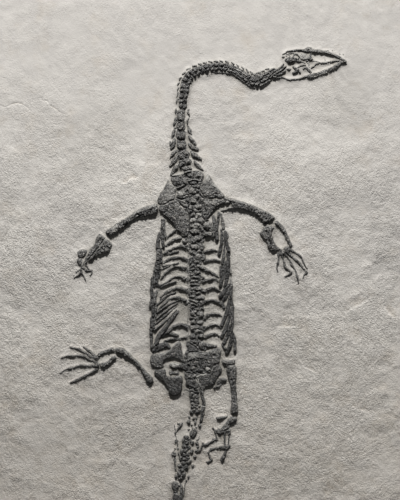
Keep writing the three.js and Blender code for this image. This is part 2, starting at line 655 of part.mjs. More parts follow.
const handRight = [
  knob([287, 249.8], [3.8, 3.4], FOREARM_HEIGHT),
  knob([282.6, 252.4], [3, 2.6], FOREARM_HEIGHT),
  bar([[289, 250.2], [284, 252.4], [278.6, 254]], [4, 4, 3], DIGIT_HEIGHT),
  bar([[277.9, 253.8], [278.5, 258.6], [277.5, 265.4], [277, 268.6], [277.5, 272]],
    [3.2, 1.9, 2.8, 1.8, 1.6], DIGIT_HEIGHT),
  bar([[282, 254.6], [283.6, 261], [285.4, 266.8], [290.6, 272.8]], [3.2, 1.8, 3, 2], DIGIT_HEIGHT),
  bar([[291, 272.8], [285, 276.4]], [2, 1.4], DIGIT_HEIGHT),
  bar([[284.6, 253.6], [288.4, 259], [291.6, 264.6], [295, 270], [296.6, 275.2], [298.4, 282.4]],
    [3, 1.8, 2.8, 1.8, 2.6, 1.4], DIGIT_HEIGHT),
  bar([[287.4, 252.4], [293, 258], [298, 262.2], [302, 267], [306.6, 272.6]],
    [3.2, 1.8, 2.8, 1.8, 2.4], DIGIT_HEIGHT),
  bar([[306.4, 272], [303.4, 278]], [2.2, 1.4], DIGIT_HEIGHT),
  bar([[290, 249.6], [296, 253], [300.2, 256.2], [303, 262], [305.8, 267.2]],
    [3, 1.8, 2.6, 1.8, 1.6], DIGIT_HEIGHT),
];

// ----------------------------------------------------------------------------------------- the legs

const femurLeft = [
  plate(
    [[115.8, 348.4], [121, 347.8], [127, 351], [134, 358], [140, 363.4], [146, 371], [151, 376],
      [153.6, 379], [153.8, 383.6], [151.4, 386.2], [148.6, 386], [146, 383], [144, 378],
      [140, 371.2], [134, 365], [128, 360], [121, 356], [116, 354.4]],
    LIMB_HEIGHT,
    1.1,
  ),
];

const tibiaLeft = [
  bar([[113.4, 349.6], [108, 351], [103, 353], [99.4, 354.6]], [4.4, 3.2, 3, 4.4], FOREARM_HEIGHT),
];

const fibulaLeft = [
  bar([[114.6, 357.6], [111, 361], [107, 363.6], [101.6, 365.6]], [4.6, 4.4, 4.6, 5.6], FOREARM_HEIGHT),
];

const footLeft = [
  knob([97.4, 364.8], [2.6, 2.8], FOREARM_HEIGHT),
  knob([96.4, 358], [2.6, 3], FOREARM_HEIGHT),
  bar([[97.6, 356], [96.4, 361], [97, 368.6]], [3.4, 3.6, 3.2], DIGIT_HEIGHT),
  bar([[96.6, 357.4], [90, 351.6], [86, 348.6], [83.6, 346.6]], [3.4, 2.6, 2.8, 1.8], DIGIT_HEIGHT),
  bar([[97, 359.6], [92, 357], [87, 354], [81.6, 351], [74, 348], [69.6, 347]],
    [3.4, 2.2, 3, 2, 2.6, 1.4], DIGIT_HEIGHT),
  bar([[96, 362.6], [88, 358.6], [84, 356.6], [78, 355.6], [73, 356], [67, 356], [61, 358]],
    [3.2, 2, 2.8, 1.8, 2.6, 1.8, 1.4], DIGIT_HEIGHT),
  bar([[96.4, 365.8], [87, 366], [81, 365.6], [74, 367.4], [67, 369], [60, 373]],
    [3.2, 2.2, 3, 2, 2.6, 1.4], DIGIT_HEIGHT),
  bar([[97.4, 369], [91, 373], [86, 375.6], [80, 378.6], [75, 381], [70.4, 382.6]],
    [3.2, 2.6, 3.4, 2.4, 2.8, 1.6], DIGIT_HEIGHT),
];

const femurRight = [
  plate(
    [[227, 366.4], [231, 364.8], [235.6, 366], [237, 371], [236.6, 377], [236.2, 385], [236.8, 393],
      [237.4, 401], [237.8, 409], [238.2, 413.4], [235, 415], [230.8, 414.4], [230.8, 408],
      [231.2, 399], [230.2, 391], [229, 383], [227, 376], [226.2, 371]],
    LIMB_HEIGHT,
    1.2,
  ),
];

const fibulaRight = [
  plate(
    [[216, 417], [222, 416.4], [228, 415.6], [226.4, 417.8], [221, 419.8], [217, 420.2]],
    FOREARM_HEIGHT,
    0.4,
  ),
];

const tibiaRight = [
  plate(
    [[230.4, 416.6], [236.4, 417.4], [236.2, 420.6], [231.4, 423.4], [228, 428.4], [223, 430.4],
      [220.4, 428.6], [224, 424.4], [227.4, 420.4]],
    FOREARM_HEIGHT,
    0.8,
  ),
];

const footRight = [
  plate(
    [[213, 428], [216.6, 428.4], [221.4, 431.4], [228, 429.2], [231.4, 428.4], [231, 432.6],
      [226, 434], [220, 434.2], [215.4, 432]],
    DIGIT_HEIGHT,
    0.4,
  ),
  knob([228.4, 430.6], [2.6, 2], FOREARM_HEIGHT),
  knob([219.4, 432], [2.4, 2.4], FOREARM_HEIGHT),
  bar([[214.6, 430], [215.6, 434.4], [217, 439.4]], [3, 1.8, 2.6], DIGIT_HEIGHT),
  bar([[216.8, 438.8], [213.8, 440.4], [208.6, 443.6], [205, 444.8], [202.2, 447.4], [200, 451]],
    [2, 3.4, 2, 3.2, 2, 1.6], DIGIT_HEIGHT),
  bar([[224.6, 432.6], [224.6, 441], [225.6, 447.4]], [3, 2.2, 3], DIGIT_HEIGHT),
  bar([[229.4, 432.4], [229, 438], [228.6, 446.6]], [3, 1.8, 2.4], DIGIT_HEIGHT),
  bar([[229.6, 446], [226, 448.4], [222, 447.2], [216, 448.4], [210.4, 449.4]],
    [2.6, 4, 2.6, 1.8, 2.8], DIGIT_HEIGHT),
  bar([[210.8, 449], [209, 453], [209.4, 457], [211.6, 460.4]], [3, 2, 1.8, 3], DIGIT_HEIGHT),
  bar([[212, 459.8], [206.6, 462]], [2.4, 1.8], DIGIT_HEIGHT),
  bar([[226.4, 448], [225, 453], [221.8, 460.4]], [3.4, 4, 5], DIGIT_HEIGHT),
];

// ----------------------------------------------------------------------------------------- the tail

const tailFront = [
  row([[193.4, 393], [194, 402], [193.4, 411], [192.6, 421], [193.2, 431]], [5.4, 5, 4.6, 4.6, 4.4]),
  plate([[192, 427], [197.5, 429], [196.5, 436], [191.5, 440], [187.6, 436.5]], FOREARM_HEIGHT, 0.6),
  bar([[198.4, 389], [203, 396], [204.2, 406], [203, 413], [202, 420], [199.6, 427]],
    [3.6, 4.4, 4.2, 4, 4.4, 3.4], SMALL_RIB_HEIGHT),
  plate([[183.4, 435], [189.4, 435.6], [192, 440], [190.6, 449], [185, 450], [181.4, 448.6], [181.8, 441]],
    FOREARM_HEIGHT, 0.7),
  bar([[190, 441.4], [196.6, 444.6]], [4.4, 4], SMALL_RIB_HEIGHT),
  row([[186, 446], [185, 455], [184, 464], [180, 473.4]], [4.6, 5.2, 4.8, 4.6], FOREARM_HEIGHT),
  plate([[173.4, 470.4], [184.6, 468.6], [185.4, 477], [181, 480], [175, 479.6]], FOREARM_HEIGHT, 0.7),
  bar([[181.6, 424.4], [179, 430], [176, 436], [177, 443], [174.6, 452], [174.4, 461], [176, 471]],
    [3.6, 3.8, 3.4, 3, 5, 3, 4], SMALL_RIB_HEIGHT),
];

const TAIL_REAR_BONES = 18;

/** The thinning end of the tail: bones in a row, each smaller than the last. */
function tailRear() {
  const route = [[175, 487], [176.6, 500], [177.4, 525], [180, 555], [185, 592], [191, 632], [198, 676]];
  const spine = new THREE.SplineCurve(route.map(([x, y]) => new THREE.Vector2(x, y)));
  const centres = [];
  const sides = [];
  for (let i = 0; i < TAIL_REAR_BONES; i++) {
    const along = i / (TAIL_REAR_BONES - 1);
    centres.push(spine.getPointAt(along).toArray());
    sides.push(THREE.MathUtils.lerp(4, 1.2, along));
  }
  const sideStrand = [[179.6, 485], [181.6, 488], [181.4, 502], [180, 516]];
  return [
    row(centres, sides, FOREARM_HEIGHT),
    bar(sideStrand, [4, 3.4, 3, 2], SMALL_RIB_HEIGHT),
  ];
}

// --------------------------------------------------------------------------------------- assembly

const rock = new THREE.MeshStandardMaterial({ color: 0xb5b0a7, roughness: 0.95, metalness: 0 });
const bone = new THREE.MeshStandardMaterial({ color: 0x4a4a48, roughness: 0.75, metalness: 0 });

/** Ribs of one side as entries of the skeleton. */
function ribEntries(side, ribs) {
  return ribs.map(([path, width], i) => {
    const number = String(i + 1).padStart(2, "0");
    return [`rib_${side}_${number}`, [bar(path, width)]];
  });
}

// A bone further up this list lies over those below it, which stop short of it.
const skeleton = [
  ["lower_jaw", lowerJaw],
  ["skull", skull],
  ["clavicle_arch", clavicleArch],
  ["neck_vertebrae", neck],
  ["scapula_left", scapulaLeft],
  ["scapula_right", scapulaRight],
  ["coracoid_left", coracoidLeft],
  ["coracoid_right", coracoidRight],
  ["humerus_left", humerusLeft],
  ["humerus_right", humerusRight],
  ["ulna_left", ulnaLeft],
  ["radius_left", radiusLeft],
  ["hand_left", handLeft],
  ["ulna_right", ulnaRight],
  ["radius_right", radiusRight],
  ["hand_right", handRight],
  ["femur_left", femurLeft],
  ["femur_right", femurRight],
  ["pubis_left", pubisLeft],
  ["pubis_right", pubisRight],
  ["ischium_left", ischiumLeft],
  ["ischium_right", ischiumRight],
  ["ilium_right", iliumRight],
  ["tibia_left", tibiaLeft],
  ["fibula_left", fibulaLeft],
  ["foot_left", footLeft],
  ["tibia_right", tibiaRight],
  ["fibula_right", fibulaRight],
  ["foot_right", footRight],
  ["trunk_vertebrae", trunk],
  ["sacral_vertebrae", sacrum],
  ["tail_front", tailFront],
  ["tail_rear", tailRear()],
  ["belly_ribs_left", strands(leftStrands)],
  ["belly_ribs_right", strands(rightStrands)],
  ...ribEntries("left", leftRibs),
  ...ribEntries("right", rightRibs),
];

const fossil = new THREE.Group();
fossil.name = "fossil_marine_reptile";

function addPiece(name, solid, material) {
  const mesh = new THREE.Mesh(geometryOf(solid), material);
  mesh.name = name;
  fossil.add(mesh);
}

addPiece("matrix_slab", matrixSlab(), rock);

const airAbove = new THREE.BoxGeometry(SLAB_WIDTH, SLAB_LENGTH, HIGHEST_BONE);
const roomAbove = solidOf(airAbove.translate(0, 0, SLAB_THICKNESS + HIGHEST_BONE / 2));

let takenRoom = null;
for (const [name, forms] of skeleton) {
  let solid = joined(forms.map((form) => form.solid)).intersect(roomAbove);
  if (takenRoom) solid = solid.subtract(takenRoom);
  const [largest] = solid.decompose().sort((a, b) => b.volume() - a.volume());
  addPiece(name, largest, bone);
  const room = joined(forms.map((form) => form.room));
  takenRoom = takenRoom ? takenRoom.add(room) : room;
}

export default fossil;
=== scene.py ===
"""A small marine reptile of the Triassic, fossilised belly up on a slab of fine-grained rock.

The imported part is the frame: every bone here stands in the place of its solid and rides on the one
body, "root". Bones are low domes worked out as heights over a fine raster of the slab's face, and the
slab is a net of cells that are smaller beside the bones. Places on the face are read on its survey
grid, squares of half a millimetre counted to the right and downwards, as in the part's own source.
Widths and distances are in squares, and heights in millimetres, until a mesh is made in metres.
"""

from __future__ import annotations

import logging
import math
from dataclasses import dataclass, field
from enum import Enum
from typing import NamedTuple, Protocol, Sequence

import bpy
import numpy as np
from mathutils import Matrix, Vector

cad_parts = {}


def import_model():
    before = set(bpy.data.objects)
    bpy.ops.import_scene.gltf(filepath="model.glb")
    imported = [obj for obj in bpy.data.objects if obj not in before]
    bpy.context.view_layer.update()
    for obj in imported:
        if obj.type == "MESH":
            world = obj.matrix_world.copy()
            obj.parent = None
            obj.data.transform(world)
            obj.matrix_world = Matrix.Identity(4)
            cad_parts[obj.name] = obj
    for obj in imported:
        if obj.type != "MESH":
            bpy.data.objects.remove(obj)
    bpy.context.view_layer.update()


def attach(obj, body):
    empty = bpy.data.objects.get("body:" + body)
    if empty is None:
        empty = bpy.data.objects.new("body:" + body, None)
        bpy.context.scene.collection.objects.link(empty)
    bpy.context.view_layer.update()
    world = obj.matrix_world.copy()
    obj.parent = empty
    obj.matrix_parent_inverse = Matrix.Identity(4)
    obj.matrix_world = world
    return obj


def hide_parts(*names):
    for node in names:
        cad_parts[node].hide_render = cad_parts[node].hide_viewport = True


LOG = logging.getLogger("fossil")

MM = 0.001
GRID = 0.5  # millimetres to a square of the survey grid
GRID_MIDDLE = (200.0, 350.0)  # the square over the middle of the slab
SLAB_WIDTH = 216.0
SLAB_LENGTH = 366.0
SLAB_THICKNESS = 16.0
BONE_FOOT = 14.4  # height of every bone's flat underside, hidden in the rock
BODY = "root"

RELIEF = 0.4  # how much of its full height a bone keeps, worn down
SKIRT = 1.0  # squares that a bone's flank runs on below the rock's face
SKIRT_FALL = 0.75  # millimetres that it falls to a square
SEAM = 0.3  # squares of rock between a bone and the bone over it
SEAM_RISE = 1.5  # millimetres to a square, up from that seam
FAR = 40.0  # squares: a distance that stands for no bone near


class Wave(NamedTuple):
    """Swells of one kind: how high they are, and how wide one of their cells is."""

    height: float
    size: float


WAVER = Wave(0.55, 6.5)  # squares: what makes a bone's outline uneven
SMALL_WAVER = Wave(0.34, 1.9)
LUMP = Wave(0.5, 3.4)  # what makes its face uneven, times its grain
FIBRE = Wave(0.7, 1.4)
PIT = Wave(2.0, 1.4)
PIT_LEVEL = 0.5  # the swell above which a pit begins
GRAIN_RIM = 0.9  # squares from the outline over which the grain sets in
DEEPEST = -0.4  # millimetres: a furrow goes no further below the rock's face
BLEND_RADIUS = 3  # raster steps over which a place's height is compared with those round it
CREST_RISE = 0.35  # millimetres above them that count as a full crest
CREST_FLOOR = -0.3  # millimetres: the flanks below this level don't count as hollows
GRAIN_AXES = ((0.82, -0.41), (0.57, 0.59))  # how the grain of the bones is slanted and stretched
UNSET = -9.0  # millimetres: the height of a place that no form has reached
PARTING_START = 0.1  # squares off a form's outline where its parting begins
PARTING_LOW = -0.2  # millimetres: a parting takes the forms beside it no lower
RIM_SHARE = 0.62  # the share of a plate's rim over which it is rounded

Points = Sequence[tuple[float, float]]
Widths = float | Sequence[float]
Array = np.ndarray


# --------------------------------------------------------------------------------------- mathematics


def lattice(ix: Array, iy: Array, seed: int) -> Array:
    """A fixed value for each whole place of a lattice, by mixing the bits of its two numbers.

    Args:
        ix: whole numbers across.
        iy: whole numbers down, of the same shape.
        seed: which of many such patterns.

    Returns:
        Values from 0 to 1.
    """
    mixed = (ix * 374761393 + iy * 668265263 + seed * 974634777) & 0xFFFFFFFF
    mixed = ((mixed ^ (mixed >> 13)) * 1274126177) & 0xFFFFFFFF
    mixed = ((mixed ^ (mixed >> 15)) * 2246822519) & 0xFFFFFFFF
    return ((mixed ^ (mixed >> 16)) & 0xFFFF) / 65535.0


def swell(x: Array, y: Array, size: float, seed: int) -> Array:
    """Smooth random swells: lattice values joined by the curve 6t^5 - 15t^4 + 10t^3 both ways.

    Args:
        x: places across.
        y: places down.
        size: side of one lattice cell, in the same measure.
        seed: which pattern.

    Returns:
        Heights from -1 to 1.
    """
    u, v = x / size, y / size
    iu, iv = np.floor(u).astype(np.int64), np.floor(v).astype(np.int64)
    fu, fv = u - iu, v - iv
    su = fu * fu * fu * (fu * (fu * 6 - 15) + 10)
    sv = fv * fv * fv * (fv * (fv * 6 - 15) + 10)
    near = lattice(iu, iv, seed) * (1 - su) + lattice(iu + 1, iv, seed) * su
    far = lattice(iu, iv + 1, seed) * (1 - su) + lattice(iu + 1, iv + 1, seed) * su
    return 2 * (near * (1 - sv) + far * sv) - 1


def layered(x: Array, y: Array, size: float, layers: int, seed: int) -> Array:
    """Swells laid on one another, each half the size and a little over half the height of the last.

    Args:
        x: places across.
        y: places down.
        size: cell side of the largest swells.
        layers: how many sizes.
        seed: which pattern.

    Returns:
        Heights from about -1 to 1.
    """
    total, share, weight = np.zeros(np.broadcast(x, y).shape), 1.0, 0.0
    for k in range(layers):
        turn = 0.6 * k
        u = x * math.cos(turn) - y * math.sin(turn)
        v = x * math.sin(turn) + y * math.cos(turn)
        total += share * swell(u, v, size / 2**k, seed + 17 * k)
        weight += share
        share *= 0.55
    return total / weight


def smooth_line(points: Points, closed: bool = False, per_span: int = 6) -> Array:
    """A Catmull-Rom curve through the points.

    Between two points it is half of 2b + (c - a)t + (2a - 5b + 4c - d)t^2 + (3b - a - 3c + d)t^3,
    where a, b, c and d are four points in a row.

    Args:
        points: the places that it passes through.
        closed: whether it comes back to its start.
        per_span: how many steps it takes from one point to the next.

    Returns:
        The places on the curve, one row each.
    """
    p = np.asarray(points, float)
    if closed:
        a, b, c, d = np.roll(p, 1, 0), p, np.roll(p, -1, 0), np.roll(p, -2, 0)
    else:
        b, c = p[:-1], p[1:]
        a = np.vstack([p[:1], p[:-2]])
        d = np.vstack([p[2:], p[-1:]])
    t = (np.arange(per_span) / per_span)[None, :, None]
    a, b, c, d = (q[:, None, :] for q in (a, b, c, d))
    curve = 0.5 * (
        2 * b + (c - a) * t + (2 * a - 5 * b + 4 * c - d) * t**2 + (3 * b - a - 3 * c + d) * t**3
    )
    line = curve.reshape(-1, 2)
    return line if closed else np.vstack([line, p[-1:]])


def evenly(points: Points, count: int) -> Array:
    """Places at equal distances along the smooth line through the points, one row each."""
    line = smooth_line(points, per_span=24)
    run = np.concatenate([[0.0], np.cumsum(np.hypot(*np.diff(line, axis=0).T))])
    share = np.linspace(0.0, run[-1], count)
    return np.stack([np.interp(share, run, line[:, k]) for k in (0, 1)], -1)


def along_line(line: Array, x: Array, y: Array, blunt: float) -> tuple[Array, Array, Array]:
    """How each place lies to an open line, from its nearest straight stretch.

    Args:
        line: the line's places, one row each.
        x: places across.
        y: places down.
        blunt: how much faster distance grows past the two ends; over 1 the ends are blunt.

    Returns:
        The distance, the signed distance to the side, and the share of the length, 0 to 1.
    """
    steps = np.diff(line, axis=0)
    lengths = np.maximum(np.hypot(steps[:, 0], steps[:, 1]), 1e-6)
    starts = np.concatenate([[0.0], np.cumsum(lengths)])
    shape = np.broadcast(x, y).shape
    best, side, share = np.full(shape, 1e9), np.zeros(shape), np.zeros(shape)
    last = len(steps) - 1
    for k, (ux, uy) in enumerate(steps / lengths[:, None]):
        dx, dy = x - line[k, 0], y - line[k, 1]
        run = dx * ux + dy * uy
        across = ux * dy - uy * dx
        on = np.clip(run, 0, lengths[k])
        over = run - on
        if k == 0:
            over = np.where(run < 0, over * blunt, over)
        if k == last:
            over = np.where(over > 0, over * blunt, over)
        distance = np.hypot(across, over)
        closer = distance < best
        best = np.where(closer, distance, best)
        side = np.where(closer, across, side)
        share = np.where(closer, (starts[k] + on) / starts[-1], share)
    return best, side, share


def inside_depth(outline: Array, x: Array, y: Array) -> Array:
    """How deep each place lies inside a closed outline, below zero outside it.

    The size is the distance to the nearest side; the sign comes from how often a level ray crosses
    the outline.

    Args:
        outline: the corners, one row each.
        x: places across.
        y: places down.

    Returns:
        The depth of each place.
    """
    ahead = np.roll(outline, -1, 0)
    shape = np.broadcast(x, y).shape
    best, inside = np.full(shape, 1e9), np.zeros(shape, bool)
    for (ax, ay), (bx, by) in zip(outline, ahead):
        ex, ey = bx - ax, by - ay
        dx, dy = x - ax, y - ay
        t = np.clip((dx * ex + dy * ey) / max(ex * ex + ey * ey, 1e-12), 0, 1)
        best = np.minimum(best, (dx - t * ex) ** 2 + (dy - t * ey) ** 2)
        if ay != by:
            crosses = ((ay > y) != (by > y)) & (x < ax + ex * (y - ay) / ey)
            inside ^= crosses
    return np.where(inside, 1, -1) * np.sqrt(best)


def blurred(values: Array, radius: int) -> Array:
    """A running mean over squares of 2 radius + 1, both ways, twice, so that it is nearly round."""
    span = 2 * radius + 1
    for _ in range(2):
        for axis in (0, 1):
            pad = [(radius + 1, radius) if k == axis else (0, 0) for k in (0, 1)]
            total = np.cumsum(np.pad(values, pad, mode="edge"), axis=axis)
            high = np.take(total, np.arange(span, total.shape[axis]), axis=axis)
            low = np.take(total, np.arange(0, total.shape[axis] - span), axis=axis)
            values = (high - low) / span
    return values


def to_metres(x: Array, y: Array, z: Array) -> Array:
    """Places on the survey grid, with heights in millimetres, as rows of metres in the part's frame."""
    across = (x - GRID_MIDDLE[0]) * GRID * MM
    up = (GRID_MIDDLE[1] - y) * GRID * MM
    return np.stack([across, up, z * MM], axis=-1).reshape(-1, 3)


def hump(r: Array, flat: float) -> Array:
    """The section of a bone: the root of 1 - r^flat, which is round at 2 and flatter above it."""
    return np.sqrt(np.maximum(0.0, 1 - np.abs(r) ** flat))


def oval_radius(
    x: Array, y: Array, centre: tuple[float, float], radii: tuple[float, float], turn: float
) -> Array:
    """How far out each place lies in an oval turned by turn degrees: 0 at its middle, 1 on its rim."""
    cos, sin = math.cos(math.radians(turn)), math.sin(math.radians(turn))
    dx, dy = x - centre[0], y - centre[1]
    return np.hypot((dx * cos + dy * sin) / radii[0], (dy * cos - dx * sin) / radii[1])


# --------------------------------------------------------------------------------------------- forms


class Form(Protocol):
    """A shape that stands on the slab's face."""

    tone: float

    def reach(self) -> tuple[float, float, float, float]:
        """Its lowest and highest x and y on the grid: left, top, right, bottom."""

    def relief(self, x: Array, y: Array) -> tuple[Array, Array]:
        """Its height, and the distance outside its outline, below zero inside it."""


def box_of(points: Array, margin: float) -> tuple[float, float, float, float]:
    """The box round points with a margin: left, top, right, bottom."""
    low, high = points.min(0) - margin, points.max(0) + margin
    return float(low[0]), float(low[1]), float(high[0]), float(high[1])


@dataclass(frozen=True)
class Bar:
    """A slender bone: a domed section of changing width carried along a smooth path.

    Its height at distance d from the path is a crown times the hump of d over half the width there.
    The crown is height, which grows by the share tip from the first place to the last, plus furrows
    that run lengthwise: swells stretched along the path.
    """

    path: Points
    width: Widths
    height: float = 1.2
    tone: float = 0.0
    flat: float = 2.2
    furrow: float = 0.12
    blunt: float = 1.6
    tip: float = 0.0

    def reach(self) -> tuple[float, float, float, float]:
        """Its box on the grid."""
        return box_of(np.asarray(self.path, float), float(np.max(self.width)) / 2 + 2)

    def relief(self, x: Array, y: Array) -> tuple[Array, Array]:
        """Its height and the distance outside it.

        Args:
            x: places across.
            y: places down.

        Returns:
            Height in millimetres and distance in squares.
        """
        line = smooth_line(self.path)
        distance, side, share = along_line(line, x, y, self.blunt)
        widths = np.atleast_1d(np.asarray(self.width, float))
        half = np.interp(share, np.linspace(0, 1, len(widths)), widths) / 2
        length = np.hypot(*np.diff(line, axis=0).T).sum()
        seed = int(self.path[0][0] * 7 + self.path[0][1] * 13)
        grooves = layered(share * length / 4.5 + seed, side * 1.1, 1.0, 2, seed)
        crown = self.height * (1 + self.tip * (share - 0.5))
        height = hump(distance / half, self.flat) * (crown + self.furrow * grooves)
        return height, distance - half


@dataclass(frozen=True)
class Plate:
    """A flat bone: an outline with a rounded rim, dished or crowned inside.

    Its height at depth s inside the outline is height times the hump of 1 - s / w, where w is the
    rounded share of rim, less dish times 1 - exp(-s / 3), which sinks the middle; a dish below zero
    raises it.
    """

    points: Points
    height: float = 1.5
    rim: float = 2.0
    dish: float = 0.0
    tone: float = 0.0
    smooth: bool = True

    def outline(self) -> Array:
        """The places round its rim."""
        if self.smooth:
            return smooth_line(self.points, closed=True, per_span=4)
        return np.asarray(self.points, float)

    def reach(self) -> tuple[float, float, float, float]:
        """Its box on the grid."""
        return box_of(np.asarray(self.points, float), 3.0)

    def relief(self, x: Array, y: Array) -> tuple[Array, Array]:
        """Its height and the distance outside it.

        Args:
            x: places across.
            y: places down.

        Returns:
            Height in millimetres and distance in squares.
        """
        depth = inside_depth(self.outline(), x, y)
        inner = np.maximum(depth, 0)
        height = self.height * hump(1 - np.minimum(inner / (RIM_SHARE * self.rim), 1), 2.0)
        return height - self.dish * (1 - np.exp(-inner / 3)), -depth


@dataclass(frozen=True)
class Boss:
    """A rounded knob on an oval, turned by turn degrees: height times the hump of the oval radius."""

    centre: tuple[float, float]
    radii: tuple[float, float]
    height: float = 2.1
    tone: float = 0.0
    turn: float = 0.0
    flat: float = 2.4

    def reach(self) -> tuple[float, float, float, float]:
        """Its box on the grid."""
        return box_of(np.asarray([self.centre], float), max(self.radii) + 2)

    def relief(self, x: Array, y: Array) -> tuple[Array, Array]:
        """Its height and the distance outside it.

        Args:
            x: places across.
            y: places down.

        Returns:
            Height in millimetres and distance in squares.
        """
        r = oval_radius(x, y, self.centre, self.radii, self.turn)
        return self.height * hump(np.minimum(r, 1), self.flat), (r - 1) * min(self.radii)


@dataclass(frozen=True)
class Furrow:
    """A groove or crack in a bone along a path: depth times exp(-(d / width)^2) is taken off."""

    path: Points
    width: float = 0.7
    depth: float = 0.5

    def reach(self) -> tuple[float, float, float, float]:
        """Its box on the grid."""
        return box_of(np.asarray(self.path, float), 3 * self.width + 1)

    def cut(self, x: Array, y: Array) -> Array:
        """The depth that it takes off at each place."""
        distance, _, _ = along_line(smooth_line(self.path, per_span=3), x, y, 1.0)
        return self.depth * np.exp(-((distance / self.width) ** 2))


@dataclass(frozen=True)
class Patch:
    """An oval of a bone that is lighter (above zero) or darker, raised by lift at its middle."""

    centre: tuple[float, float]
    radii: tuple[float, float]
    tone: float = 0.3
    lift: float = 0.0
    turn: float = 0.0

    def reach(self) -> tuple[float, float, float, float]:
        """Its box on the grid."""
        return box_of(np.asarray([self.centre], float), 1.6 * max(self.radii) + 1)

    def weight(self, x: Array, y: Array) -> Array:
        """How much of it shows at each place: exp(-r^4) of its oval radius r."""
        r = oval_radius(x, y, self.centre, self.radii, self.turn)
        return np.exp(-np.minimum(r, 3) ** 4)


# -------------------------------------------------------------------------------- raster and meshes


@dataclass
class Raster:
    """The fine raster over the skeleton, and on it the distance to the nearest bone so far."""

    left: float = 54.0
    top: float = 42.0
    right: float = 354.0
    bottom: float = 694.0
    step: float = 0.4
    gap: Array = field(init=False)

    def __post_init__(self) -> None:
        """Lays out the raster with no bone on it."""
        self.columns = int(round((self.right - self.left) / self.step)) + 1
        self.rows = int(round((self.bottom - self.top) / self.step)) + 1
        self.gap = np.full((self.rows, self.columns), FAR)

    def window(self, reach: tuple[float, float, float, float]) -> tuple[slice, slice]:
        """The rows and columns that cover a box.

        Args:
            reach: left, top, right and bottom on the grid.

        Returns:
            A slice of rows and a slice of columns.
        """
        i0 = max(0, math.floor((reach[0] - self.left) / self.step))
        i1 = min(self.columns, math.ceil((reach[2] - self.left) / self.step) + 1)
        j0 = max(0, math.floor((reach[1] - self.top) / self.step))
        j1 = min(self.rows, math.ceil((reach[3] - self.top) / self.step) + 1)
        return slice(j0, j1), slice(i0, i1)

    def places(self, window: tuple[slice, slice]) -> tuple[Array, Array]:
        """The x and y of a window's places, as a column of rows against a row of columns."""
        y = self.top + self.step * np.arange(window[0].start, window[0].stop)
        x = self.left + self.step * np.arange(window[1].start, window[1].stop)
        return np.meshgrid(x, y)

    def sample(self, values: Array, x: Array, y: Array) -> Array:
        """Values kept on the raster read at any places, each mixed from the four round it.

        Args:
            values: one for each place of the raster.
            x: places across.
            y: places down.

        Returns:
            The values there; past the raster's edge, those at the edge.
        """
        u = np.clip((x - self.left) / self.step, 0, self.columns - 1.001)
        v = np.clip((y - self.top) / self.step, 0, self.rows - 1.001)
        i, j = u.astype(int), v.astype(int)
        fu, fv = u - i, v - j
        near = values[j, i] * (1 - fu) + values[j, i + 1] * fu
        far = values[j + 1, i] * (1 - fu) + values[j + 1, i + 1] * fu
        return near * (1 - fv) + far * fv


def mesh_object(
    name: str,
    vertices: Array,
    loops: Array,
    sizes: Array,
    marks: dict[str, Array],
    smooth: bool = True,
) -> bpy.types.Object:
    """A mesh object from whole arrays.

    Args:
        name: the object's name.
        vertices: places in metres, one row each.
        loops: the vertex numbers of every face, one after another.
        sizes: how many of them each face has.
        marks: values to keep on the vertices, by name.
        smooth: whether the faces are shaded smooth.

    Returns:
        The object, at the origin and in the scene.
    """
    mesh = bpy.data.meshes.new(name)
    mesh.vertices.add(len(vertices))
    mesh.vertices.foreach_set("co", vertices.astype(np.float32).ravel())
    mesh.loops.add(len(loops))
    mesh.loops.foreach_set("vertex_index", loops.astype(np.int32))
    mesh.polygons.add(len(sizes))
    starts = np.concatenate([[0], np.cumsum(sizes)[:-1]]).astype(np.int32)
    mesh.polygons.foreach_set("loop_start", starts)
    mesh.polygons.foreach_set("use_smooth", np.full(len(sizes), smooth))
    mesh.update(calc_edges=True)
    for key, values in marks.items():
        attribute = mesh.attributes.new(key, "FLOAT", "POINT")
        attribute.data.foreach_set("value", values.astype(np.float32).ravel())
    mesh.validate()
    made = bpy.data.objects.new(name, mesh)
    bpy.context.scene.collection.objects.link(made)
    return made


def without_corner_touches(cells: Array) -> Array:
    """Cells filled in until no two touch at a corner alone, so that their walls close cleanly."""
    for _ in range(4):
        a, b, c, d = cells[:-1, :-1], cells[:-1, 1:], cells[1:, :-1], cells[1:, 1:]
        falling = a & d & ~b & ~c
        rising = b & c & ~a & ~d
        if not (falling.any() or rising.any()):
            break
        cells = cells.copy()
        cells[:-1, 1:] |= falling
        cells[:-1, :-1] |= rising
    return cells


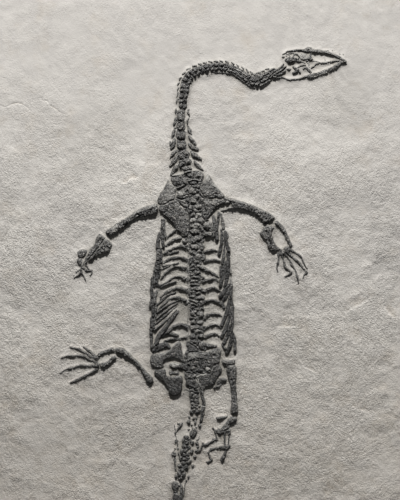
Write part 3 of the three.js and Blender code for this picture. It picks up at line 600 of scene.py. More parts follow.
def relief_solid(x: Array, y: Array, z: Array, cells: Array) -> tuple[Array, Array, Array]:
    """A closed skin over the chosen cells of a raster: the relief above, a flat foot, walls between.

    Args:
        x: places across, for each raster place.
        y: places down.
        z: heights in millimetres.
        cells: which cells are covered, one less each way than the places.

    Returns:
        Vertices in metres, quads as rows of four vertex numbers, and the chosen places as a mask.
    """
    cells = without_corner_touches(cells)
    used = np.zeros(z.shape, bool)
    for dj in (0, 1):
        for di in (0, 1):
            used[dj : dj + cells.shape[0], di : di + cells.shape[1]] |= cells
    number = np.cumsum(used).reshape(used.shape) - 1
    count = int(used.sum())
    top = to_metres(x[used], y[used], z[used])
    foot = to_metres(x[used], y[used], np.full(count, BONE_FOOT))
    j, i = np.nonzero(cells)
    a, b, c, d = number[j, i], number[j, i + 1], number[j + 1, i + 1], number[j + 1, i]
    quads = [np.stack([a, d, c, b], -1), np.stack([a, b, c, d], -1) + count]
    ring = np.pad(cells, 1)
    sides = (
        (ring[:-2, 1:-1], (0, 0), (0, 1)), (ring[2:, 1:-1], (1, 1), (1, 0)),
        (ring[1:-1, :-2], (1, 0), (0, 0)), (ring[1:-1, 2:], (0, 1), (1, 1)))
    for beyond, (j0, i0), (j1, i1) in sides:
        sj, si = np.nonzero(cells & ~beyond)
        p, q = number[sj + j0, si + i0], number[sj + j1, si + i1]
        quads.append(np.stack([p, q, q + count, p + count], -1))
    return np.vstack([top, foot]), np.vstack(quads), used


# -------------------------------------------------------------------------------------- the skeleton


@dataclass
class Bone:
    """One named piece of the skeleton: the forms that it is made of, and the marks upon them."""

    node: str
    forms: list[Form]
    marks: list[Furrow | Patch] = field(default_factory=list)
    grain: float = 0.4
    parting: float = 0.0
    warp: float = 1.0
    trim: float = 0.0
    window: tuple[slice, slice] = field(init=False, default=(slice(0, 0), slice(0, 0)))
    height: Array = field(init=False, default_factory=lambda: np.zeros(0))
    tone: Array = field(init=False, default_factory=lambda: np.zeros(0))
    cells: Array = field(init=False, default_factory=lambda: np.zeros(0))

    def lay(self, raster: Raster) -> None:
        """Works out the bone's heights on the raster and sinks them where a bone already lies over it.

        The height is the greatest of its forms' heights, or where the bone has a parting, that of the
        last form there, round which the others stay under a slope of that many millimetres to a
        square. Furrows are cut from it and pitted swells added; outside the outline it falls at a
        steady rate. A trim draws the lower edge in by that much. Near a bone that was laid before, it
        stays under a slope that rises from the seam between the two.

        Args:
            raster: the raster, with the distances of the bones laid so far.
        """
        reaches = np.array([form.reach() for form in self.forms])
        whole = (*reaches[:, :2].min(0), *reaches[:, 2:].max(0))
        self.window = raster.window(whole)
        x, y = raster.places(self.window)
        seed = sum(map(ord, self.node))
        warp = [
            WAVER.height * layered(x, y, WAVER.size, 2, seed + turn)
            + SMALL_WAVER.height * swell(x, y, SMALL_WAVER.size, seed + turn + 2)
            for turn in (21, 43)
        ]
        u, v = x + self.warp * warp[0], y + self.warp * warp[1]
        height, gap, tone = np.full(x.shape, UNSET), np.full(x.shape, FAR), np.zeros(x.shape)
        for form in self.forms:
            part = self.part_of(raster, form.reach())
            rise, out = form.relief(u[part], v[part])
            if self.trim:
                lower, beyond = form.relief(u[part], v[part] + self.trim)
                rise, out = np.minimum(rise, lower), np.maximum(out, beyond)
            higher = (out < 0) & (rise > height[part])
            if self.parting:
                slope = self.parting * (out - PARTING_START)
                height[part] = np.minimum(height[part], np.maximum(PARTING_LOW, slope))
                higher = out < 0
            height[part] = np.where(higher, rise, height[part])
            tone[part] = np.where(higher, form.tone, tone[part])
            gap[part] = np.minimum(gap[part], out)
        for mark in self.marks:
            part = self.part_of(raster, mark.reach())
            if isinstance(mark, Furrow):
                height[part] -= mark.cut(u[part], v[part])
            else:
                weight = mark.weight(u[part], v[part])
                tone[part] += mark.tone * weight
                height[part] += mark.lift * weight
        a, b = (along * x + down * y for along, down in GRAIN_AXES)
        rough = LUMP.height * layered(a, b, LUMP.size, 2, seed)
        rough = rough + FIBRE.height * layered(a, b, FIBRE.size, 2, seed + 5)
        pits = np.maximum(0, swell(a, b, PIT.size, seed + 9) - PIT_LEVEL)
        within = np.clip(-gap / GRAIN_RIM, 0, 1)
        height = RELIEF * height + self.grain * (rough - PIT.height * pits) * within
        height = np.where(gap < 0, np.maximum(height, DEEPEST), -SKIRT_FALL * gap)
        over = raster.gap[self.window]
        self.height = np.minimum(height, SEAM_RISE * (over - SEAM))
        self.tone = tone
        shown = (gap < SKIRT) & (over > -SKIRT)
        self.cells = shown[:-1, :-1] & shown[:-1, 1:] & shown[1:, :-1] & shown[1:, 1:]
        raster.gap[self.window] = np.minimum(over, gap)

    def part_of(self, raster: Raster, reach: tuple[float, float, float, float]) -> tuple[slice, slice]:
        """The rows and columns of this bone's window that cover a box on the grid."""
        rows, columns = raster.window(reach)
        j, i = self.window[0].start, self.window[1].start
        return (
            slice(max(0, rows.start - j), max(0, rows.stop - j)),
            slice(max(0, columns.start - i), max(0, columns.stop - i)),
        )

    def build(self, ground: Ground, finish: bpy.types.Material) -> bpy.types.Object:
        """The bone as a closed mesh that stands for its node.

        Args:
            ground: the face of the rock that it stands on.
            finish: its material.

        Returns:
            The mesh object.
        """
        x, y = ground.raster.places(self.window)
        level = ground.level(x, y)
        vertices, quads, used = relief_solid(x, y, level + self.height, self.cells)
        crest = np.maximum(self.height, CREST_FLOOR)
        crest = np.clip((crest - blurred(crest, BLEND_RADIUS)) / CREST_RISE, -1, 1)
        foot = np.zeros(int(used.sum()))
        marks = {
            "tone": np.concatenate([self.tone[used], foot]),
            "crest": np.concatenate([crest[used], foot - 1]),
        }
        made = mesh_object(self.node + "_relief", vertices, quads.ravel(), np.full(len(quads), 4), marks)
        made.data.materials.append(finish)
        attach(made, BODY)
        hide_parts(self.node)
        LOG.info("%s: %d faces", made.name, len(quads))
        return made


@dataclass
class Ground:
    """The face of the rock: broad swells, and a climb towards the bones.

    Its level is the slab's thickness plus swells of about half a millimetre, plus the bones' cover
    (1 on a bone, 0 off it) blurred narrowly and broadly, each times its own climb.
    """

    raster: Raster
    patches: tuple[Patch, ...] = ()
    near_climb: float = 0.85
    far_climb: float = 0.6
    near_radius: int = 4  # raster steps of the narrow blur, and of the broad one
    broad_radius: int = 14
    swells: tuple[Wave, Wave] = (Wave(0.42, 90.0), Wave(0.12, 26.0))
    near: Array = field(init=False)
    broad: Array = field(init=False)

    def __post_init__(self) -> None:
        """Blurs the bones' cover at both widths."""
        cover = (self.raster.gap < 0).astype(float)
        self.near = blurred(cover, self.near_radius)
        self.broad = blurred(cover, self.broad_radius)

    def level(self, x: Array, y: Array) -> Array:
        """The height in millimetres of the smooth face at places on the grid."""
        large, small = self.swells
        swells = large.height * layered(x, y, large.size, 2, 3)
        swells = swells + small.height * layered(x, y, small.size, 2, 11)
        climb = self.near_climb * self.raster.sample(self.near, x, y)
        return SLAB_THICKNESS + swells + climb + self.far_climb * self.raster.sample(self.broad, x, y)

    def stain_and_shade(self, x: Array, y: Array) -> Array:
        """How much the rock is darkened round the bones, 0 to 1: partly stain, partly painted shade where the
        bones crowd together.
        """
        cover = self.raster.sample(self.broad, x, y)
        stain_and_shade = np.clip((cover - 0.1) / 0.45, 0, 1) ** 1.3
        for patch in self.patches:
            stain_and_shade = np.maximum(stain_and_shade, patch.tone * patch.weight(x, y))
        return stain_and_shade


# ------------------------------------------------------------------------------------------ the slab


@dataclass(frozen=True)
class Bed:
    """One bed of the rock as it shows in the broken edge: where it stands back, and how it breaks."""

    inset: float
    chip: float
    seed: int
    levels: tuple[float, ...]


@dataclass
class MatrixSlab:
    """The slab of rock: a net of cells on its face, a broken edge of four beds, a sawn underside."""

    ground: Ground
    coarse: tuple[int, int] = (143, 243)  # the largest cells, across and along
    corner_cut: float = 7.0
    edge_reach: float = 16.0
    drift: Wave = Wave(9, 24.0)  # squares by which the flakes' outlines wander
    stairs: Wave = Wave(3.4, 62.0)
    streaks: Wave = Wave(0.05, 3.2)
    dimples: Wave = Wave(0.07, 8.0)
    chips: Wave = Wave(1.0, 26.0)
    splinters: Wave = Wave(0.35, 3.4)
    fracture: Wave = Wave(0.45, 4.0)
    sag: Wave = Wave(0.2, 14.0)
    flake_ramp: float = 0.16  # the share of a flake's step over which it rises
    flake_height: float = 0.16
    crack_width: float = 0.5
    crack_depth: float = 0.22
    ledge_width: float = 0.7
    ledge_height: float = 0.22
    ledge_spread: float = 9.0
    near_cover: float = 0.08  # blurred cover of bones above which a cell is of the smallest size
    broad_cover: float = 0.035  # and of the middle size
    buried: float = -1.0  # places this far inside a bone need no small cells
    near_lines: float = 1.5  # squares from a crack or ledge within which it is of the smallest size
    broad_lines: float = 4.0  # and of the middle size
    crease_angle: float = 50.0
    crest_rise: float = 0.18  # millimetres of finer shape that count as a full crest
    sink_rate: float = 0.5  # how fast the face sinks below a bone, so that it never shows through it
    sink_start: float = 0.2  # squares inside the bone's outline where that begins
    sink_run: float = 1.2  # and over how many squares it goes on
    foot_inset: float = 0.3
    cracks: tuple[Points, ...] = ()
    ledges: tuple[Points, ...] = ()
    beds: tuple[Bed, ...] = (
        Bed(2.4, 4.6, 31, (15.7, 15.25)),
        Bed(0.5, 2.8, 47, (15.1, 13.9, 12.4, 11.0)),
        Bed(1.3, 3.0, 59, (10.7, 9.2, 7.4, 5.5)),
        Bed(0.1, 2.2, 73, (5.1, 3.4, 1.4, 0.0)),
    )

    def detail(self, x: Array, y: Array) -> Array:
        """The finer shape of the face: worn flake edges, streaks, ledges and cracks.

        Flake edges are where broad swells pass whole steps: each step rises over its first part, the
        flake ramp, and slopes back over the rest. Streaks are swells stretched one way. A crack is its
        depth times exp(-(d / width)^2), and a ledge its height times tanh(side / width) near it. Both
        fade out at their ends.

        Args:
            x: places across.
            y: places down.

        Returns:
            Heights in millimetres.
        """
        warp_x = x + self.drift.height * layered(x, y, self.drift.size, 2, 71)
        warp_y = y + self.drift.height * layered(x, y, self.drift.size, 2, 83)
        stairs = self.stairs.height * layered(warp_x, warp_y, self.stairs.size, 3, 97) + 0.012 * (x + 0.5 * y)
        whole = np.floor(stairs)
        rise = np.clip((stairs - whole) / self.flake_ramp, 0, 1)
        flakes = self.flake_height * ((whole + rise * rise * (3 - 2 * rise)) - stairs)
        along, across = 0.8 * x + 0.6 * y, 0.8 * y - 0.6 * x
        streaks = self.streaks.height * layered(along / 3.2, across, self.streaks.size, 2, 29)
        streaks = streaks + self.dimples.height * layered(x, y, self.dimples.size, 2, 37)
        total = flakes + streaks
        for path in self.cracks:
            distance, _, share = along_line(smooth_line(path, per_span=3), x, y, 1.0)
            fade = np.sqrt(np.abs(np.sin(math.pi * share)))
            total = total - self.crack_depth * fade * np.exp(-((distance / self.crack_width) ** 2))
        for path in self.ledges:
            distance, side, share = along_line(smooth_line(path, per_span=3), x, y, 1.0)
            fade = np.sin(math.pi * share) * np.exp(-np.abs(side) / self.ledge_spread) * (distance < 30)
            total = total + self.ledge_height * fade * np.tanh(side / self.ledge_width)
        return total

    def lines_near(self, x: Array, y: Array) -> Array:
        """The distance from each place to the nearest crack or ledge."""
        best = np.full(x.shape, FAR)
        for path in (*self.cracks, *self.ledges):
            best = np.minimum(best, along_line(smooth_line(path, per_span=3), x, y, 1.0)[0])
        return best

    def inset_at(self, bed: Bed, x: Array, y: Array) -> Array:
        """How far a bed's edge stands back from the slab's full size, at places in millimetres.

        It is the bed's own inset, plus the slant of the cut corners, plus chips where broad swells
        are over a low level, plus small fractures.

        Args:
            bed: the bed.
            x: millimetres from the middle, across.
            y: millimetres from the middle, along.

        Returns:
            Millimetres.
        """
        to_corner = (SLAB_WIDTH / 2 - np.abs(x)) + (SLAB_LENGTH / 2 - np.abs(y))
        slant = np.clip(self.corner_cut - to_corner, 0, None) / 2
        chips = np.maximum(0, self.chips.height * layered(x, y, self.chips.size, 3, bed.seed) + 0.1)
        small = self.splinters.height * layered(x, y, self.splinters.size, 2, bed.seed + 3)
        return bed.inset + slant + bed.chip * chips + small * min(1.0, bed.chip)

    def warped(self, u: Array, v: Array) -> tuple[Array, Array]:
        """The face's places in millimetres, with its border drawn in to the top bed's broken edge.

        Each place moves towards the middle by the inset of the border beside it, times the square of
        how near the border it is.

        Args:
            u: millimetres from the middle, across, over the full width.
            v: millimetres from the middle, along, over the full length.

        Returns:
            The moved places.
        """
        half_w, half_l = SLAB_WIDTH / 2, SLAB_LENGTH / 2
        bed = self.beds[0]
        near_x = np.clip(1 - (half_w - np.abs(u)) / self.edge_reach, 0, 1) ** 2
        near_y = np.clip(1 - (half_l - np.abs(v)) / self.edge_reach, 0, 1) ** 2
        inset_x = self.inset_at(bed, np.sign(u) * half_w, v)
        inset_y = self.inset_at(bed, u, np.sign(v) * half_l)
        return u - np.sign(u) * inset_x * near_x, v - np.sign(v) * inset_y * near_y

    def finer(self) -> tuple[Array, Array]:
        """Where the net of the face has smaller cells: close to bones, cracks and ledges.

        Returns:
            Which cells of the middle size are parted in four, and which of the largest size are.
        """
        nx, ny = self.coarse
        raster = self.ground.raster
        step = SLAB_WIDTH / GRID / (2 * nx), SLAB_LENGTH / GRID / (2 * ny)
        x = GRID_MIDDLE[0] - SLAB_WIDTH / 2 / GRID + step[0] * (np.arange(2 * nx) + 0.5)
        y = GRID_MIDDLE[1] - SLAB_LENGTH / 2 / GRID + step[1] * (np.arange(2 * ny) + 0.5)
        x, y = np.meshgrid(x, y)
        near, broad = raster.sample(self.ground.near, x, y), raster.sample(self.ground.broad, x, y)
        lines = self.lines_near(x, y)
        buried = raster.sample(raster.gap, x, y) < self.buried
        fine = ((near > self.near_cover) & ~buried) | (lines < self.near_lines)
        medium = (broad > self.broad_cover) | (lines < self.broad_lines)
        spread = fine.copy()
        spread[1:] |= fine[:-1]
        spread[:-1] |= fine[1:]
        spread[:, 1:] |= spread[:, :-1].copy()
        spread[:, :-1] |= spread[:, 1:].copy()
        parted = (medium | spread).reshape(ny, 2, nx, 2).any(axis=(1, 3))
        return fine, parted

    def cells(self) -> tuple[Array, Array, Array, Array, Array]:
        """The net of the face: cells of three sizes, smaller beside bones, cracks and ledges.

        A coarse cell is four lattice steps wide. It is parted in four where bones or lines are near,
        and those in four again where they are close, one size apart at most from their neighbours. A
        larger cell takes in the middle of a side where the cells beyond that side are smaller.

        Returns:
            Lattice columns and rows of the used places, the faces' vertex numbers one after another,
            the faces' sizes, and the numbers on the lattice with -1 where no place is used.
        """
        nx, ny = self.coarse
        fine, parted = self.finer()
        cj, ci = np.nonzero(~parted)
        mj, mi = np.nonzero(parted.repeat(2, 0).repeat(2, 1) & ~fine)
        fj, fi = np.nonzero(fine)
        fi = (2 * fi[:, None] + np.array([0, 1, 0, 1])).ravel()
        fj = (2 * fj[:, None] + np.array([0, 0, 1, 1])).ravel()
        leaves = ((4 * ci, 4 * cj, 4), (2 * mi, 2 * mj, 2), (fi, fj, 1))
        used = np.zeros((4 * ny + 1, 4 * nx + 1), bool)
        for i, j, size in leaves:
            for di, dj in ((0, 0), (0, size), (size, size), (size, 0)):
                used[j + dj, i + di] = True
        number = np.where(used, np.cumsum(used).reshape(used.shape) - 1, -1)
        loops, sizes = [], []
        for i, j, size in leaves:
            half = size // 2
            ring = [(0, 0), (0, half), (0, size), (half, size), (size, size), (size, half), (size, 0)]
            ring = [*ring, (half, 0)] if half else [(0, 0), (0, 1), (1, 1), (1, 0)]
            ids = np.stack([number[j + dj, i + di] for di, dj in ring], -1)
            loops.append(ids[ids >= 0])
            sizes.append((ids >= 0).sum(1))
        rows, columns = np.nonzero(used)
        return columns, rows, np.concatenate(loops), np.concatenate(sizes), number

    def broken_edge(
        self, u: Array, v: Array, out_u: Array, out_v: Array
    ) -> tuple[list[Array], list[Array]]:
        """The slab's edge as rings of places, from the top bed down to the foot.

        Args:
            u: millimetres from the middle, across, of each place on the face's border.
            v: millimetres from the middle, along.
            out_u: which way is out of the slab there, across: -1, 0 or 1.
            out_v: which way is out, along.

        Returns:
            The rings in metres, and for each the crest values of its places.
        """
        rings, crest = [], []
        for bed in self.beds:
            inset = self.inset_at(bed, u, v)
            sag = self.sag.height * layered(u, v, self.sag.size, 2, bed.seed + 11)
            for level in bed.levels:
                if level > 0:
                    across, down = u + v, level + 3 * u
                    fracture = layered(across, down, self.fracture.size, 2, bed.seed + 7)
                    back, height = self.fracture.height * fracture, level + sag
                else:
                    back, height = np.full(len(u), self.foot_inset), np.full(len(u), level)
                place = np.stack([u - out_u * (inset + back), v - out_v * (inset + back), height], -1)
                rings.append(place * MM)
                crest.append(np.clip(-back, -1, 1))
        return rings, crest

    def build(self, finish: bpy.types.Material) -> bpy.types.Object:
        """The slab as one closed mesh that stands for its node.

        Args:
            finish: its material.

        Returns:
            The mesh object.
        """
        columns, rows, loops, sizes, number = self.cells()
        last_row, last_column = number.shape[0] - 1, number.shape[1] - 1
        u = SLAB_WIDTH * (columns / last_column - 0.5)
        v = SLAB_LENGTH * (0.5 - rows / last_row)
        across, along = self.warped(u, v)
        x, y = GRID_MIDDLE[0] + across / GRID, GRID_MIDDLE[1] - along / GRID
        detail = self.detail(x, y)
        gap = self.ground.raster.sample(self.ground.raster.gap, x, y)
        sunk = self.sink_rate * np.clip(-gap - self.sink_start, 0, self.sink_run)
        top = to_metres(x, y, self.ground.level(x, y) + detail - sunk)
        border = np.concatenate([number[0, :-1], number[:-1, -1], number[-1, :0:-1], number[:0:-1, 0]])
        border = border[border >= 0]
        ring_u, ring_v = u[border], v[border]
        out_u = np.where(columns[border] == last_column, 1, np.where(columns[border] == 0, -1, 0))
        out_v = np.where(rows[border] == 0, 1, np.where(rows[border] == last_row, -1, 0))
        rings, wear_and_shade = self.broken_edge(ring_u, ring_v, out_u, out_v)
        crest = [np.clip(detail / self.crest_rise, -1, 1), *wear_and_shade]
        count, wide = len(top), len(border)
        faces = [loops]
        upper = border
        for k in range(len(rings)):
            lower = count + k * wide + np.arange(wide)
            quads = np.stack([upper, np.roll(upper, -1), np.roll(lower, -1), lower], -1)
            faces.append(quads.ravel())
            upper = lower
        faces.append(upper)
        all_sizes = np.concatenate([sizes, np.full(wide * len(rings), 4), [wide]])
        vertices = np.vstack([top, *rings])
        # stain and painted shade of the rock round the bones, kept on the face's places
        stain_and_shade = np.concatenate([self.ground.stain_and_shade(x, y), np.zeros(wide * len(rings))])
        marks = {"stain_and_shade": stain_and_shade, "crest": np.concatenate(crest)}
        made = mesh_object("matrix_slab_relief", vertices, np.concatenate(faces), all_sizes, marks)
        made.data.set_sharp_from_angle(angle=math.radians(self.crease_angle))
        made.data.materials.append(finish)
        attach(made, BODY)
        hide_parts("matrix_slab")
        LOG.info("%s: %d faces", made.name, len(all_sizes))
        return made


# ------------------------------------------------------------------------------- parts of the skeleton


def vertebrae(
    centres: Points, halves: Sequence[float], height: float, tone: float = 0.0, waist: float = 0.62
) -> list[Form]:
    """A row of vertebrae: a low band along it, and on it a knob for each, turned with the row.

    Args:
        centres: the middle of each vertebra.
        halves: half its width.
        height: how high it stands.
        tone: how light it is.
        waist: the band's share of that width.

    Returns:
        The band and the knobs.
    """
    line = np.asarray(centres, float)
    ahead = np.gradient(line, axis=0)
    lengths = np.hypot(ahead[:, 0], ahead[:, 1])
    turns = np.degrees(np.arctan2(ahead[:, 1], ahead[:, 0]))
    band = Bar(centres, [2 * waist * half for half in halves], 0.62 * height, tone - 0.15)
    rises = 0.94 + 0.1 * lattice(np.arange(len(line)), np.arange(len(line)), 5)
    knobs = [
        Boss(tuple(spot), (0.5 * length, half), height * rise, tone, turn, 2.8)
        for spot, length, half, turn, rise in zip(line, lengths, halves, turns, rises)
    ]
    return [band, *knobs]


def lumps(rows: Sequence[Sequence[float]], height: float) -> list[Form]:
    """Knobs from rows of x, y, both radii, tone and, where it has one, turn."""
    return [
        Boss((x, y), (wide, long), height, tone, *turn, flat=2.2) for x, y, wide, long, tone, *turn in rows
    ]


@dataclass
class Head:
    """The lower jaws, seen from below, and what shows of the palate and braincase between them."""

    jaw_height: float = 1.2
    bone_height: float = 1.2

    def bones(self) -> list[Bone]:
        """The pieces of the head, uppermost first."""
        return [self.lower_jaw(), self.skull()]

    def lower_jaw(self) -> Bone:
        """Both rami, which meet at the snout, with a few teeth beside them."""
        high = self.jaw_height
        upper = (
            (282.4, 54.4), (286, 52.6), (290, 50.8), (298, 50.5), (305, 51), (313, 51.9), (322, 52.8),
            (331, 54.4), (338, 56.8), (343, 60), (345.6, 62))
        lower = (
            (345.3, 61.2), (341, 63.4), (337, 65.8), (331.5, 68.6), (325, 70.8), (318, 73.3), (311, 75.4),
            (307, 76.8), (300, 78.3), (294.5, 79.2), (289, 79.2), (285, 78), (281, 77.5), (276, 78.2))
        teeth = ((328, 50.6), (332.6, 50.6), (340, 54), (343.5, 54.6), (346.4, 64.2), (296, 49.6))
        return Bone("lower_jaw", [
            Bar(((304, 50), (313, 50.4), (322, 51), (333, 53.4)), (1.4, 2.4, 2.2, 1.2), 0.7 * high, 0.5),
            Bar(upper, (0.8, 1.4, 1.9, 2.1, 2, 1.9, 2, 2.2, 2.6, 2.8, 2.8), high, -0.1),
            Bar(((338, 67.6), (329, 71.4), (320, 75), (313, 78)), (1.2, 2, 2, 1.4), 0.6 * high, 0.45),
            Bar(lower, (3, 3.4, 3.4, 2.8, 2.4, 2.6, 3, 2.2, 1.6, 1.6, 1.6, 1.4, 1.3, 1), 0.85 * high, 0.0),
            Boss((308.6, 48.9), (3.6, 1.8), high, 0.3), Boss((310.8, 77.2), (3.8, 2.3), high, 0.2),
            *(Boss(tooth, (0.9, 0.7), 0.5 * high, 0.1) for tooth in teeth),
        ], [
            Furrow(((334, 67.4), (322, 72), (312, 75.6)), 0.45, 0.4), Patch((297, 50.4), (9, 2), -0.4),
            Patch((343.5, 60.5), (2, 2), 0.3, 0.1), Patch((284, 53.6), (3, 1.6), 0.5),
            Patch((338, 66), (3, 2.4), -0.3),
        ], 0.3)

    def skull(self) -> Bone:
        """Broken bones of the palate and braincase."""
        high = self.bone_height
        occiput = (
            (284.4, 60.4), (286.4, 58.2), (291, 57.6), (296, 58), (298.4, 59.6), (296, 61.6), (291.6, 62.6),
            (289.6, 64.2), (287, 63.4), (286, 61.6))
        pillar = ((307, 59.6), (309.4, 55.6), (309.8, 53.4), (311.8, 53.4), (311.4, 57), (313.6, 60),
            (309, 60.4))
        vomer = ((339.6, 60.3), (330.4, 62.2), (325, 63.3), (319.5, 63.2), (316.2, 64), (313.8, 66),
            (311, 68.6))
        return Bone("skull", [
            Plate(((300.6, 54.4), (306.4, 53.8), (306.6, 59.4), (300.8, 59.6)), 0.5 * high, 1.2, 0, 0.8),
            Bar(((307.4, 60), (308.6, 64), (309, 68)), (1.6, 2.2, 2.4), 0.4 * high, 1.1),
            Plate(occiput, high, 1.4, 0.1, -0.2),
            Bar(((292.6, 58.6), (293.6, 55.6), (296.8, 54.2), (299, 56.8), (298, 59.8)), 1.5, high, 0.0),
            Bar(((288, 54), (292, 53.4), (294.6, 54.4)), 1.1, 0.5 * high, 0.5),
            Bar(((296.6, 60.8), (301, 62), (305.5, 64.2)), (1.9, 1.4, 1.3), high, -0.1),
            Bar(((305.8, 65), (301, 66), (297.5, 68)), (1.6, 1.6, 1.3), high, -0.1),
            Plate(pillar, high, 1.2, 0, -0.15), Boss((307.4, 60.8), (1.5, 1), high, -0.2),
            Bar(((303.4, 69.4), (306, 67.8), (308, 70), (310.8, 73)), (1.6, 2.6, 2.8, 2.4), high, 0.1),
            Bar(vomer, (1, 1.4, 1.8, 1.9, 1.7, 1.5, 1.4), 0.9 * high, -0.1),
            Bar(((312, 60.6), (315.5, 61.2), (318.5, 62)), 1.1, 0.5 * high, 0.3),
            Bar(((324.6, 59), (325.2, 61)), 0.9, 0.5 * high, 0.2),
            Bar(((328.6, 63.6), (328.2, 66)), 1, 0.5 * high, 0.4), Boss((289, 69.8), (3, 1.3), high, -0.3),
            Bar(((292.6, 66.6), (295, 68.4), (298, 70), (300.8, 73.2)), (1.4, 2.4, 2.2, 1.3), high, 0.0),
            Bar(((298.6, 68.8), (296.4, 71.6), (293.4, 74)), (1.8, 2, 2.8), high, -0.2),
            Boss((283.2, 57.3), (1.7, 1.1), high, 0), Boss((286.6, 56), (1, 0.8), 0.5 * high, 0.2),
            Bar(((285.6, 53.4), (289, 55.2), (290, 57)), 1, 0.5 * high, 0.3),
        ], [
            Furrow(((286.6, 60.2), (291, 59.6), (296, 60)), 0.4, 0.6),
            Furrow(((303.4, 54.4), (303.4, 59)), 0.4, 0.4), Patch((289, 62.6), (2.4, 1.6), -0.4),
        ], 0.3, 1.0)


